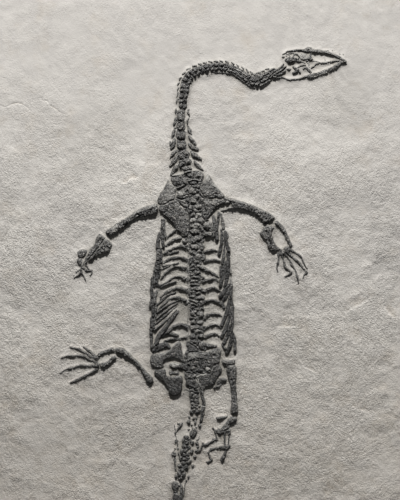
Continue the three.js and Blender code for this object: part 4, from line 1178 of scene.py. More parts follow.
@dataclass
class Neck:
    """The long neck, curled round from behind the head to the shoulders."""

    height: float = 1.9
    rib_height: float = 1.5
    shade: float = -0.47  # of the darkest knob
    shade_spread: float = 0.55
    count: int = 26
    curl: Points = (
        (274, 72.2), (268, 75.6), (262, 79), (256, 81.6), (251, 80.8), (246, 77.8), (240, 73.6), (234, 70),
        (228, 67.6), (221, 66.6), (214, 66.8), (207, 68), (200, 70), (194, 73), (189, 77.4), (185.8, 84),
        (184, 92), (183, 99.6), (182.6, 106))
    halves: tuple[float, ...] = (4.2, 4.6, 5, 5.1, 5.2, 5, 4.4, 4, 3.8, 3.8, 3.8, 4, 4.3, 4.8, 5, 5, 4.8,
        4.4, 4.2)

    def braid(self) -> list[Form]:
        """The vertebrae round the curl: two knobs side by side for each, and a sliver outside them."""
        line = evenly(self.curl, self.count)
        half = np.interp(np.linspace(0, 1, self.count), np.linspace(0, 1, len(self.halves)), self.halves)
        ahead = np.gradient(line, axis=0)
        ahead /= np.hypot(ahead[:, 0], ahead[:, 1])[:, None]
        aside = np.stack([-ahead[:, 1], ahead[:, 0]], -1)
        turns = np.degrees(np.arctan2(ahead[:, 1], ahead[:, 0]))
        number = np.arange(self.count)
        forms: list[Form] = [Bar(line.tolist(), (1.9 * half).tolist(), 0.6 * self.height, -0.25, 2.6)]
        for side, wide, seed in ((-0.5, 0.5, 3), (0.42, 0.56, 4)):
            shade = self.shade_spread * lattice(number, number * 3, seed) + self.shade
            shift = 1.6 * lattice(number, number * 5, seed + 9) - 0.8
            spots = line + (side * half)[:, None] * aside + shift[:, None] * ahead
            forms += [
                Boss(tuple(spot), (2.5, wide * h), self.height, tone, turn + 18, 2.4)
                for spot, h, tone, turn in zip(spots, half, shade, turns)
            ]
        outer, inner = line + (1.5 * half)[:, None] * aside, line + (1.24 * half)[:, None] * aside
        for k in range(1, self.count - 1):
            path = (tuple(inner[k] - 1.9 * ahead[k]), tuple(outer[k] + 1.5 * ahead[k]))
            forms.append(Bar(path, (1.9, 1.3), 0.8 * self.rib_height, 0.15, furrow=0.0))
        return forms

    def bones(self) -> list[Bone]:
        """The one piece of the neck."""
        rows = (
            (181.2, 117, 4.1, 4.4, -0.1), (181.2, 126.6, 4.2, 4.2, -0.05), (180.6, 136, 5, 4.6, 0),
            (181.6, 145.6, 5.3, 4.8, -0.05), (181.6, 155, 3.2, 4.4, 0.1), (186.6, 155, 2.8, 3.8, -0.1),
            (187.4, 162.6, 4.2, 3.8, 0.05), (182, 165.4, 2.8, 3, 0), (187.4, 169.4, 4.6, 2.8, 0.15))
        holes = ((180.4, 123.4), (180.2, 132.4), (180.4, 142.4), (186.6, 156), (188.4, 165), (182.6, 166.6))
        ribs = (
            (((188.8, 109.6), (188, 113), (189.4, 117)), (1.6, 2.6, 1.2)),
            (((188.8, 118), (187.4, 121), (188, 124)), (1.2, 2.4, 1.4)),
            (((188.4, 126), (189, 130), (191.6, 135)), (1.6, 4.2, 1)),
            (((189, 135.4), (190.8, 139), (195.8, 144.6)), (1.8, 4.4, 1.6)),
            (((189.6, 144.6), (192, 147.2), (198.4, 149.4)), (3, 5, 2.4)),
            (((190.8, 152), (194.4, 155.6), (201.4, 159.4)), (3, 5.6, 2.6)),
            (((194.4, 161.4), (196.8, 165.2), (204, 170.4)), (2.6, 4.8, 1)),
            (((176.4, 108.6), (176.4, 111), (176, 114.8)), (1.2, 2.4, 1.4)),
            (((175.8, 118), (175.2, 121.6), (173.6, 125)), (2, 3.8, 1.6)),
            (((175.6, 128), (174, 132), (171.8, 138.4)), (2.6, 3.8, 1.4)),
            (((174.4, 139.6), (173.2, 143.6), (171, 148.8)), (3, 5, 2.6)),
            (((176.8, 150.6), (173.6, 153.4), (170.2, 158)), (2.4, 4, 1.4)),
            (((178, 155.4), (174.8, 160), (169.4, 166)), (2.6, 4.8, 1.4)),
            (((179.4, 164), (175, 169.4), (171, 175)), (3, 6, 2.2)))
        streaks = (
            (((264, 81), (272, 74), (278, 69.4), (284.4, 63.6)), (2.4, 2.6, 2.4, 1.6)),
            (((270, 78.6), (276, 73.6), (281, 70), (286, 66)), (1.6, 2.2, 2.2, 1.8)),
            (((273, 77.6), (278, 75), (282.6, 72.6), (285.6, 69.4)), (1.6, 2, 2.4, 1.8)),
            (((263, 75.6), (269, 71.6), (274, 68.4)), (1.2, 1.4, 1)),
            (((273.4, 76.8), (278, 78.2), (283, 77.4)), (1.8, 2, 1.2)),
            (((260, 86.4), (266, 82.8), (270, 80.6)), (2, 2.2, 1.4)))
        thin = ((213, 71.4), (220, 72.5), (226, 72.8), (232, 73.6), (236, 76), (241, 80), (246, 84),
            (251, 87), (255, 88))
        forms = [
            *(Bar(path, width, self.rib_height, 0.05) for path, width in ribs),
            Bar(((181, 112), (181, 140), (184, 168)), (8, 9, 9), 0.5 * self.height, -0.1),
            *self.braid(),
            *lumps(rows, self.height), *(Bar(path, width, self.rib_height, 0.0) for path, width in streaks),
            Bar(thin, 1.1, 0.8, 0.1), Bar(((235, 69), (241, 72), (247, 76.6)), 1.5, 1.0, 0.9),
            Bar(((199, 75.6), (205, 77.3), (210, 74.7), (213, 73)), 0.9, 0.4, 0.35),
            Boss((170, 143), (1.2, 3), 1.2),
        ]
        marks: list[Furrow | Patch] = [Patch(hole, (1.5, 1.1), -0.7, -0.9) for hole in holes]
        marks += [
            Furrow(((x - wide, y + long), (x, y + long - 0.8), (x + wide, y + long)), 0.5, 0.6)
            for x, y, wide, long, _ in rows[:4]
        ]
        return [Bone("neck_vertebrae", forms, marks, 0.36, 0.9, 1.2)]


@dataclass
class ShoulderGirdle:
    """The clavicles, the scapulae and the coracoids, seen from below."""

    plate_height: float = 1.6
    knob_height: float = 2.1

    def clavicle_arch(self) -> Bone:
        """The arch in front, of a left lobe, a middle and a right lobe that ends in a knob."""
        outline = (
            (171, 178), (173, 176), (178.4, 175.6), (184, 172.6), (190, 170.8), (196, 170.8), (201, 171.6),
            (203.8, 175), (203.6, 180), (201, 184), (196, 184.8), (189, 184.8), (183, 184.4), (178, 187),
            (173, 184.4), (170.4, 181.6))
        rows = (
            (176.6, 181.4, 5.6, 4.4, -0.1), (185.6, 181, 3.4, 3.2, 0), (191.6, 175.4, 5, 3.4, 0.05),
            (193.4, 183, 4.2, 2, -0.5), (199.6, 177, 3.8, 5, 0.2, 15))
        return Bone("clavicle_arch", [
            Plate(outline, 0.75 * self.plate_height, 2.0, 0.1, 0.0), *lumps(rows, self.knob_height),
            Bar(((183, 174), (186, 172.4), (190.4, 171.6)), 1.9, 1.7, 0.3),
            Bar(((188.4, 181), (190.4, 180), (195, 179.6), (198.2, 180.6)), 1.4, 1.9, 0.4),
            Bar(((172.4, 175.8), (176, 175.6), (180, 174)), 1.7, 1.2, 1.0),
        ], [
            Furrow(((194.2, 175), (195.6, 180)), 0.6, 0.8), Patch((186.6, 176.4), (2, 1.8), -0.6, -0.6),
        ], 0.3, 0.5, 1.0)

    def blades(self) -> list[Bone]:
        """Both scapulae, the left one pale."""
        left = (
            (167.7, 179.4), (170.2, 183.5), (174, 186.5), (176.2, 189), (175.6, 194.4), (175, 198.2),
            (170.2, 201.2), (165.8, 203.6), (160.9, 204.4), (157, 202.3), (157.9, 198.2), (162.5, 190.6),
            (165.8, 184))
        right = (
            (207.8, 175), (210.5, 177), (213.2, 181.3), (217, 186.8), (220.8, 191.2), (224.7, 196.6),
            (220.3, 198.8), (215.4, 197.7), (210, 198.8), (205, 197.2), (202.3, 194.4), (200.1, 189.5),
            (201.2, 184.6), (204.5, 180.3))
        return [
            Bone("scapula_left", [Plate(left, self.plate_height, 2.4, -0.1, 0.42)], [
                Patch((162.4, 191), (2.8, 12), -0.55, 0.0, 28), Patch((170.5, 196), (3, 4), 0.2, 0.1, 20),
                Patch((167.5, 193.6), (2.4, 1.4), -0.4, -0.15), Patch((166, 183), (3, 2), 0.3),
            ], 0.22),
            Bone("scapula_right", [Plate(right, self.plate_height, 2.2, 0.1, 0.32)], [
                Patch((207.6, 178), (3, 3), 0.5), Patch((214, 185), (1.6, 6), 0.25, 0.1, -35),
                Patch((215.5, 195), (5, 4.4), -0.5, -0.5, 20), Patch((214, 188.6), (2.4, 2), -0.4, -0.4, 30),
                Furrow(((206, 181), (208.6, 186), (210.4, 192), (208.4, 197)), 0.6, 0.35),
                Furrow(((213, 191.6), (217, 194.4), (219.6, 193.6)), 0.6, 0.5),
            ], 0.3),
        ]

    def coracoids(self) -> list[Bone]:
        """Both coracoids, dark and grainy, the left one long and ending in a knob."""
        left = (
            (159.4, 206), (164, 203.6), (168, 202.6), (172, 200), (177.6, 200.4), (180.4, 205.6),
            (183.6, 209.6), (188, 213), (189.4, 220), (189.4, 229), (188.4, 235.6), (186, 237.8),
            (182, 238), (179.6, 234.6), (174.8, 228.4), (170.2, 222.4), (164.7, 217), (160.4, 213.4),
            (158.8, 209.4))
        right = (
            (222.6, 198.6), (225, 201), (224.6, 205), (220.6, 205.6), (217, 208), (213.6, 211.6),
            (210.2, 217), (206, 220.4), (203, 218), (202.4, 212), (204.6, 208), (203.4, 203.4),
            (204.4, 199.4), (210, 201), (215.4, 199.6), (219.6, 199.6))
        return [
            Bone("coracoid_left", [
                Plate(left, 1.15 * self.plate_height, 3.4, 0.3, -0.05),
                Boss((184, 232.8), (3.2, 4.4), self.knob_height, 0.15),
            ], [
                Patch((176.6, 205.4), (4.6, 4.6), 0.4), Patch((166, 204.8), (4, 1.6), 0.4, 0.1, -10),
                Patch((184, 219), (4.6, 9), 0.35), Patch((183.6, 233.4), (1.6, 1.6), 0.4),
                Patch((168.6, 218), (12, 3), -0.3, 0.0, 45),
                Furrow(((166, 211), (172, 214.6), (177, 220.4)), 0.7, 0.35),
                Furrow(((181, 228.6), (186, 228.2)), 0.6, 0.5),
            ], 0.36, trim=0.8),
            Bone("coracoid_right", [Plate(right, 1.1 * self.plate_height, 2.4, 0.1, 0.12)], [
                Patch((211, 203.4), (8, 2.4), 0.3, 0.15, 5), Patch((208, 216), (7, 2), -0.4, 0.0, -52),
                Furrow(((205, 211.4), (208.6, 212), (211, 209)), 0.6, 0.5),
                Furrow(((213, 206), (217, 204), (219.6, 201)), 0.6, 0.4),
            ], 0.45, trim=1.2),
        ]


@dataclass
class Arms:
    """Upper arms, forearms and hands."""

    upper_height: float = 1.8
    lower_height: float = 1.5
    digit_height: float = 1.0
    digit_tone: float = -0.25

    def bones(self) -> list[Bone]:
        """The pieces of both arms, uppermost first."""
        return [*self.upper(), *self.left(), *self.right()]

    def upper(self) -> list[Bone]:
        """Both humeri, thick shafts cracked and worn pale in places."""
        left = (
            (157, 204.4), (150, 205.6), (143, 207.5), (135, 212), (127, 217.5), (120, 221.5), (112, 227),
            (106, 231), (105.4, 235), (110, 239), (115, 236.4), (120, 232.4), (127, 227.5), (133, 222),
            (140, 219.5), (148, 218), (157, 215.4), (158.4, 210))
        right = (
            (220.4, 200.6), (224.4, 197.8), (233, 199), (242, 201.4), (252, 205), (262, 209.5),
            (270, 213.5), (274, 217), (275.2, 219.4), (272, 223), (268, 225), (264.5, 225.8), (261.5, 223),
            (258, 219), (252, 215.4), (244, 212.4), (237, 210.6), (232, 209.6), (231, 206), (226, 206.6),
            (221.4, 206.6), (219.4, 203.6))
        return [
            Bone("humerus_left", [Plate(left, self.upper_height, 4.4, 0.0, 0.0)], [
                Furrow(((156, 208.6), (148, 210.6), (141, 213.4), (134, 217.4)), 0.7, 0.5),
                Furrow(((146, 214), (140, 216), (136, 219)), 0.6, 0.6),
                Furrow(((131, 216), (122, 222), (113, 228.6)), 0.7, 0.5),
                Furrow(((128, 220), (131, 224)), 0.5, 0.5), Furrow(((122, 222), (125, 228)), 0.5, 0.5),
                Patch((152, 206.6), (6, 1.6), 0.5, 0.1, -12), Patch((138, 211.6), (6, 1.5), 0.4, 0.0, -32),
                Patch((146, 212.4), (8, 2.4), -0.45, 0.0, -24),
                Patch((126, 223.6), (6, 2.6), -0.3, -0.1, -35),
                Patch((131, 220.4), (2.4, 1.6), 0.5, 0.1, -35), Patch((115, 227.2), (4, 1.4), 0.9, 0.1, -35),
                Patch((116, 230.6), (4, 1.4), 0.7, 0.1, -20), Patch((108, 235), (3, 4), -0.4, 0.0),
            ], 0.5, trim=2.0),
            Bone("humerus_right", [
                Plate(right, self.upper_height, 4.4, 0.0, 0.0),
                Bar(((237, 208), (230.6, 209), (225, 211), (220.8, 212)), (5, 4.4, 4, 3.6), 1.5, 0.5),
            ], [
                Patch((227, 202.6), (2, 1.6), 0.9, 0.2, 30), Patch((224, 204), (3, 1.6), -0.3, -0.2),
                Furrow(((221, 201), (227, 200), (231, 204)), 0.6, 0.7),
                Furrow(((227, 203), (238, 203.6), (250, 207.4), (262, 213)), 0.7, 0.4),
                Furrow(((230, 207), (242, 207), (254, 212)), 0.6, 0.4),
                Furrow(((246, 202.6), (249, 213.6)), 0.45, 0.4), Patch((234, 200.6), (7, 1.4), 0.5, 0.0, 10),
                Patch((258, 209.4), (12, 1.5), 0.4, 0.0, 24),
                Patch((250, 208.6), (16, 2), -0.3, 0.0, 20), Patch((268, 217.6), (5, 3), -0.4, -0.2, 30),
                Patch((267.6, 219.6), (3, 1), 0.7, 0.1, -30),
            ], 0.6, trim=2.0),
        ]

    def left(self) -> list[Bone]:
        """The left forearm, and the hand with its five short digits."""
        ulna = (
            (104.6, 239.4), (108, 240), (110.8, 242), (112.5, 246), (110.5, 251), (107.5, 254),
            (102, 255), (97, 257.5), (92, 260.5), (88.6, 262.4), (88.4, 259), (93.4, 253.6),
            (98.6, 247.6), (102, 243))
        radius = (
            (99.5, 233.5), (103, 236), (105, 238.8), (102, 243), (98.2, 248), (93.2, 254),
            (88.2, 259.8), (87.2, 263), (84.5, 264), (85, 259), (87.5, 254), (91, 248.5), (94.5, 245),
            (95.5, 240), (97, 236))
        wrist = (
            (77, 253.5), (79, 250.5), (84, 249.5), (87.6, 250.8), (86.4, 254.2), (83.8, 256.8),
            (79.4, 257.2))
        second = ((76.5, 259.6), (82.3, 259), (81.6, 264), (80, 265.6))
        digits = (
            (((80.6, 263), (81.5, 268.4), (79, 270.4), (75.8, 272.4)), (1.6, 1.9, 1.2, 1.1)),
            (((84.9, 260), (83.2, 264.4), (81.6, 268)), (1.2, 1.1, 1.6)),
            (((81.6, 267.6), (81, 272.8), (77.4, 275.6), (73.8, 278)), (1.6, 2.9, 1.2, 1.1)),
            (((81.4, 272.4), (83.6, 276), (85.8, 280.4)), (1.8, 1.2, 1)),
            (((81.6, 266.8), (86.4, 270.4), (91.6, 270.8)), (1.1, 2.2, 1.3)),
            (((91.8, 270.2), (92, 273.2), (89.9, 275.8)), (1.6, 1.3, 1)),
            (((85.4, 264.4), (87.4, 267.2), (89.2, 269.6)), 1.2))
        return [
            Bone("ulna_left", [Plate(ulna, self.lower_height, 2.6, 0.1, 0.02)], [
                Patch((101, 254.4), (6, 1.4), 0.5, 0.0, -14),
                Furrow(((107, 243), (101, 250), (94, 256.6)), 0.6, 0.35),
                Patch((94, 257), (1.1, 1.1), -0.7, -0.5), Patch((96.5, 259.6), (1.1, 1.1), -0.7, -0.5),
            ], 0.5, trim=1.2),
            Bone("radius_left", [Plate(radius, self.lower_height, 2.2, 0.0, 0.02)],
                [Furrow(((100.5, 238), (94, 247.5), (88, 257)), 0.5, 0.35)]),
            Bone("hand_left", [
                Plate(wrist, 0.9 * self.lower_height, 1.8), Plate(second, 0.8 * self.lower_height, 1.3),
                Bar(((79, 256), (79.4, 260)), 2.4, 0.5, -0.3),
                *(Bar(path, width, self.digit_height, self.digit_tone) for path, width in digits),
                Boss((74, 275.6), (0.9, 0.7), 0.5), Boss((79, 283), (0.9, 0.7), 0.5),
            ], [
                Furrow(((79.4, 253.6), (84.6, 253)), 0.45, 0.5),
                Furrow(((81.8, 250.4), (82.4, 256)), 0.45, 0.4), Furrow(((79, 270), (82.6, 271)), 0.4, 0.6),
            ], 0.3, warp=0.5),
        ]

    def right(self) -> list[Bone]:
        """The right forearm, and the hand spread out below it."""
        ulna = (
            (264.5, 227), (269, 226), (273.4, 227), (274.4, 229), (272, 232.5), (272.5, 237), (274, 242),
            (277, 246), (280, 248.4), (280.4, 250.5), (277, 252), (272, 252.5), (269, 250),
            (266.5, 248), (267, 245), (264.5, 241), (261.5, 237.5), (260, 235), (261.5, 231))
        radius = ((276.6, 223), (280.5, 226.8), (284.2, 232), (287, 238), (289.5, 243.4), (290.6, 245.8))
        digits = (
            (
                ((277.9, 253.8), (278.5, 258.6), (277.5, 265.4), (277, 268.6), (277.5, 272)),
                (3, 1.6, 2.7, 1.6, 1.3),
            ),
            (
                ((281.7, 254.6), (283.6, 261), (285.4, 266.8), (289.6, 271), (291.5, 273.5)),
                (3, 1.6, 2.9, 1.6, 2),
            ),
            (((291.3, 273), (288, 275), (284.5, 276.6)), (1.9, 1.4, 1.2)),
            (
                ((284.6, 253.6), (288.4, 259), (291.6, 264.6), (295, 270), (296.6, 275.2), (298.5, 282.5)),
                (2.8, 1.6, 2.7, 1.6, 2.5, 1.2),
            ),
            (((287.4, 252.4), (293, 258), (298, 262.2), (302, 267), (307, 273)), (3, 1.6, 2.7, 1.6, 2.3)),
            (((306.8, 272.8), (304.2, 275), (303, 278.6)), (2.1, 1.5, 1.2)),
            (
                ((290, 249.8), (296, 253), (300.2, 256.2), (303, 262), (305.8, 267.2)),
                (2.8, 1.6, 2.5, 1.6, 1.4),
            ),
            (((305.8, 267), (307.6, 268.6)), (1.3, 1)),
            (((289, 250.2), (284, 252.4), (278.6, 254)), (3.4, 3.2, 2.4)))
        return [
            Bone("ulna_right", [Plate(ulna, self.lower_height, 2.6, 0.15, 0.0)], [
                Furrow(((268, 229), (267, 236), (271, 245)), 0.6, 0.5),
                Patch((272, 230), (2, 2.4), -0.5, -0.3), Patch((269.6, 240), (2, 6), -0.4, -0.1, -14),
                Patch((264, 235), (2, 5), 0.3, 0.0, 10), Patch((272, 248.6), (5, 2.4), 0.1, 0.0, 20),
            ], 0.5, trim=1.2),
            Bone("radius_right", [Bar(radius, (4.9, 4.4, 3.8, 3.8, 4.1, 4), self.lower_height, 0.0)],
                [Furrow(((278, 226), (284, 234.6), (287.6, 242)), 0.5, 0.25)]),
            Bone("hand_right", [
                Boss((287, 249.8), (3.7, 3.5), self.lower_height),
                Boss((282.5, 253.2), (2.7, 2.2), 0.8 * self.lower_height),
                Boss((280.7, 250.6), (1.7, 1.6), 0.7 * self.lower_height),
                *(Bar(path, width, self.digit_height, self.digit_tone) for path, width in digits),
            ], [
                Furrow(((284.4, 249), (285.4, 253)), 0.5, 0.7), Furrow(((276, 259.6), (280, 261)), 0.4, 0.4),
                Furrow(((281.6, 264), (285.4, 263)), 0.4, 0.4),
                Furrow(((289.6, 268.4), (293.4, 266)), 0.4, 0.4),
                Furrow(((295.6, 265), (298.6, 262.4)), 0.4, 0.4),
            ], 0.3, warp=0.5),
        ]


@dataclass
class Trunk:
    """The vertebrae from the shoulders to the hips, with short processes along their right side."""

    height: float = 2.1
    process_height: float = 1.2

    def bones(self) -> list[Bone]:
        """The one piece of the trunk."""
        rows = (
            (192, 190, 5, 4.2, 0.35), (199, 190.5, 3, 3.8, 0.1), (197, 186.4, 4.4, 2, 0.15),
            (188.6, 199, 2.6, 3.6, 0), (193.2, 201, 2.9, 4, 0.35), (197.4, 196.6, 3.2, 2.6, 0.35),
            (202, 201, 3.4, 3, 0.1), (189.8, 210, 3, 3.8, -0.05), (196.6, 210.4, 2.9, 3, 0.3),
            (202, 209.4, 3, 2.4, 0.2), (198, 215.6, 3.6, 2.8, 0.75), (192.6, 216, 2.6, 2.6, 0.3),
            (193, 221, 3.2, 3.4, 0.65), (201, 221.4, 3.2, 4, 0.3), (196.4, 226.2, 4, 3.2, 0.8),
            (190.8, 226.8, 2.6, 2.8, 0.2), (201.6, 229.4, 2.8, 2.6, 0.05), (194.6, 231.8, 5.4, 2.6, 0.2),
            (207.6, 225.6, 4, 4, 0.45), (208, 234.6, 4.2, 2.6, 0.3), (185.2, 241, 3.8, 3, 0.15),
            (191.4, 240.8, 3, 2.8, 0), (197, 239.4, 6.4, 4.2, 0.2), (190, 246.4, 2.2, 2.8, 0),
            (201.2, 247.4, 3.2, 3.2, 0.25), (195, 247, 4.6, 3.2, 0.45), (193.6, 253, 4.6, 2.4, 0),
            (199.6, 252.4, 3, 2, 0.05), (192.4, 258.4, 3, 2.8, 0.1), (203, 257.2, 3, 3.6, 0.25),
            (198, 257.2, 3.4, 3.2, 0.5), (191.4, 263.4, 2.5, 2.8, 0.15), (196.6, 262.4, 2.9, 1.8, 0.2),
            (194.6, 266.4, 4.2, 2, 0.15), (192, 269.6, 2.8, 1.5, 0.3), (201, 267, 4.4, 1.8, 0.4, 20),
            (191.6, 273.6, 2.7, 1.9, 0), (197.4, 272.4, 3.6, 1.9, 0.15), (201.6, 277.6, 2.8, 2, 0.15),
            (194.8, 277.6, 5.6, 1.6, 0.25), (194.2, 281.4, 4.6, 1.4, 0.3), (194.4, 284.6, 4.8, 1.4, 0.3),
            (191.4, 288.4, 2.5, 1.7, 0.1), (197.8, 288.2, 5.6, 2.2, 0.35), (192.6, 292.4, 3.5, 1.4, 0.3),
            (197.8, 293.4, 3.4, 1.9, 0.1), (192.2, 296.6, 3, 1.7, 0.1), (200.2, 298, 4.6, 2.6, 0.25),
            (201, 303.4, 3, 2.6, 0.15), (193.6, 300.8, 4.4, 1.4, 0.25, 24), (193.6, 304.6, 4.2, 1.4, 0.2, 30),
            (193.4, 308, 3, 1.4, 0.1, 20), (197.6, 309.8, 3.8, 1.6, 0.25), (202.2, 308.6, 1.8, 2, 0.1),
            (193.8, 313.8, 3.8, 3.2, 0.3), (200.2, 314.6, 3.5, 3.6, 0.3), (192.6, 319, 3, 1.8, 0.05),
            (193, 322.4, 3.3, 2.4, 0.25), (200.2, 326.6, 3.2, 2.2, 0.1), (200.2, 322.6, 3.4, 2.3, 0.45),
            (193.2, 328.4, 3.8, 3.8, 0.3), (202.2, 331.8, 1.8, 2.2, 0), (198.6, 332.4, 3.7, 3, 0.4),
            (193, 336.4, 3.6, 2.6, -0.2), (200.8, 336.4, 3, 3, 0.1), (202.2, 345.4, 3.2, 4.4, 0.15))
        sheet = (
            (176, 187.6), (183, 185), (203, 184), (204, 197), (220, 203), (213, 211), (208, 220),
            (213, 224), (212.6, 231), (205, 236), (203, 243), (190, 243), (184, 241), (186, 234),
            (187, 214), (180, 206), (175.6, 199), (176.6, 192))
        spine = ((191, 188), (191.4, 210), (195, 226), (196.6, 246), (196, 262), (195, 280), (195, 345))
        wedge = ((186.4, 342), (189, 340.6), (193.4, 343.6), (198.4, 348), (196, 351), (188, 351),
            (186.4, 347))
        processes = (
            (((200.6, 268), (204, 268.8)), 3.6), (((199.6, 278), (204, 279)), 3.4),
            (((200, 290), (204.4, 290.4)), 3.8), (((200, 303), (204.6, 302.6)), 3.8),
            (((199.4, 315.4), (204.2, 316.8)), 3.6), (((199.4, 326.6), (204.2, 327)), 3.4),
            (((198.4, 338), (204, 337)), 3.4), (((203.4, 345), (205, 350)), 3.6))
        crests = (248, 260.6, 271, 280.4, 292, 303.4)
        forms: list[Form] = [
            Plate(sheet, 0.5 * self.height, 2.0, 0.0, 0.2),
            Bar(spine, (9, 9, 11, 12, 12, 11, 10, 10), 0.72 * self.height, -0.1, 3.0, 0.2),
            *(Bar(path, width, self.process_height, 0.05) for path, width in processes),
            *(Boss((188.6, y), (2.6, 2.4), 0.8 * self.height, 0) for y in crests),
            *lumps(rows, self.height), Plate(wedge, 0.8 * self.height, 1.4, 0.0, -0.35),
            Bar(((189.4, 341.4), (194, 344.2), (198.6, 348.2)), 1.2, 0.9 * self.height, 0.3),
            Boss((198.6, 207), (4.4, 1.9), self.height, 0.5, 8),
            Bar(((177.4, 188.6), (181, 186.6), (185.2, 184.6)), 2.3, 1.7, 0.5),
            Bar(((188.4, 232), (188.2, 290), (188, 342)), 0.9, 0.6 * self.height, 0.55),
        ]
        marks: list[Furrow | Patch] = [
            Patch((181, 194.4), (4.4, 2.8), 0.9, 0.4), Patch((182.2, 202.6), (3.8, 2), 0.75, 0.4),
            Patch((182, 209), (2.6, 1.2), 0.6, 0.2), Patch((184, 212.4), (2, 1.4), -0.9, -1.2, 35),
            Furrow(((177.6, 190.8), (181, 188.6), (184.6, 187)), 1.2, 2.4),
            Furrow(((178.2, 198), (181.4, 199.2), (185, 197.2)), 1.2, 2.4),
            Furrow(((180.2, 205.2), (182.8, 207.2), (185.8, 206.4)), 1.3, 2.4),
            Furrow(((193, 194.4), (197, 193.8), (202, 197)), 0.8, 1.2),
            Furrow(((188, 204.8), (193, 205)), 0.8, 1.2),
            Patch((200.4, 202.4), (2.6, 1.6), -0.7, -0.5), Patch((191.2, 211.4), (3, 3), -0.5, -0.3),
            Furrow(((204.6, 229.6), (207.6, 231), (210.4, 233.4)), 1.3, 2.4),
            Furrow(((192.6, 234.6), (195.4, 235.2), (198.6, 234)), 0.9, 1.4),
            Furrow(((199, 242), (202.6, 239.4)), 1.1, 1.6),
        ]
        return [Bone("trunk_vertebrae", forms, marks, 0.4, 0.8, 1.4)]


@dataclass
class Ribs:
    """The ribs of both sides, from the shoulders back: paths outwards from the spine, and widths."""

    height: float = 1.5
    slimness: float = 0.94
    shade: float = -0.2
    shade_spread: float = 0.14
    knob_tone: float = 0.15
    left: tuple = (
        (((186.4, 196.4), (182, 197.6), (178, 196.8)), (2.8, 2.9, 1.8)),
        (((186.6, 206.4), (182.8, 204.4), (179, 201.8)), (3.8, 3.2, 1.8)),
        (((180, 238.6), (176, 239.4), (172, 241.4), (164.4, 247.2)), (3.4, 3.2, 3.2, 2)),
        (((175.4, 230.2), (171, 233.8), (166, 238.2)), (2.4, 2.6, 1.8)),
        (((188, 247.8), (181, 246.5), (174, 248.3), (168, 251.3), (162, 254.8)), (5, 3.4, 3.2, 3.2, 2.2)),
        (((188, 260.6), (182, 258.2), (176, 257.5), (169, 259.8), (163, 263.8)), (5, 3.4, 3.2, 3, 2.2)),
        (
            ((188.6, 270.8), (184, 268.4), (179, 267.2), (172, 268.4), (166, 272.8), (160.6, 279.4)),
            (5, 3.6, 3, 2.8, 2.8, 1.9),
        ),
        (
            ((188, 279.8), (184, 278), (180, 276.5), (174, 278), (168, 281), (161.6, 286.4)),
            (5, 3.4, 2.8, 2.8, 2.8, 1.9),
        ),
        (
            ((188, 291.4), (184, 289.2), (180, 288.2), (174, 288.9), (167, 292), (160.4, 297.6)),
            (5.2, 3.8, 3.3, 3.2, 3, 2),
        ),
        (
            ((188, 302.8), (183, 300), (179, 297.8), (174, 298.1), (167, 301.2), (158.4, 309.6)),
            (5, 3.8, 3.2, 3, 2.8, 1.9),
        ),
        (
            ((188.4, 327.8), (184, 325.2), (179, 325), (174, 327), (168, 331.6), (162.4, 337.6)),
            (5.2, 4.6, 4.4, 4.2, 3.8, 2.4),
        ),
        (((188, 336.8), (181, 338.5), (175, 339.6), (167.4, 341.2)), (3.8, 3, 2.8, 2.2)))
    right: tuple = (
        (((202.6, 236.2), (208, 236.5), (213.8, 236)), (4.6, 3.4, 2.6)),
        (((203.6, 253.2), (208, 251.5), (213, 250.2), (217.4, 251.8)), (4.4, 3, 2.8, 2.2)),
        (((204.8, 261.2), (211, 260.1), (219.4, 260.7)), (4.2, 3, 2.4)),
        (((203.6, 269.2), (208, 270.8), (212, 273), (218.8, 277.4)), (4.2, 3.4, 3.2, 2.2)),
        (((203.6, 281), (209, 280.5), (214, 279.6), (218.4, 281.8)), (4, 3, 2.8, 2.2)),
        (((204, 291.2), (208, 290), (213, 288.3), (219.4, 291.4)), (4.4, 3.4, 3.2, 2.2)),
        (((204.4, 302.2), (210, 300.6), (216, 301.4), (221, 304.2), (223.8, 308)), (4.2, 3, 3.2, 4.6, 3)),
        (((204, 317.8), (208, 315.2), (213, 314), (218, 314.6), (222, 316.8)), (4.2, 3, 2.8, 2.8, 1.8)),
        (((204.2, 328.2), (209, 326.6), (213, 325.3), (217, 325.4), (221.4, 329)), (4.2, 3, 2.8, 2.8, 1.8)),
        (((204.2, 337.2), (209, 335.6), (214, 334.3), (219.4, 336.2)), (4.2, 3.4, 3.2, 2)),
        (((206.6, 345.4), (212, 346), (216.4, 346.2)), (4.8, 4.6, 3)))

    def bones(self) -> list[Bone]:
        """One piece for each rib, with a groove along its middle and its own even shade."""
        made = []
        for side, ribs in (("left", self.left), ("right", self.right)):
            for k, (path, width) in enumerate(ribs):
                tone = self.shade + self.shade_spread * math.sin(5.1 * k + len(side))
                slim = [self.slimness * part for part in width]
                forms: list[Form] = [Bar(path, slim, self.height, tone, furrow=0.4)]
                for j, (place, part) in enumerate(zip(path, slim)):
                    if side == "right" or j == 0:
                        wide = 0.6 * part * (1.15 if j == 0 else 0.85 + 0.3 * math.sin(7 * j + k))
                        radii = (wide, 0.9 * wide)
                        forms.append(Boss(place, radii, 1.15 * self.height, tone + self.knob_tone))
                groove = Furrow(path[1:], 0.4, 0.3) if len(path) > 3 else Furrow(path, 0.4, 0.2)
                made.append(Bone(f"rib_{side}_{k + 1:02d}", forms, [groove], 0.44, 0.0, 1.2, 0.5))
        return made


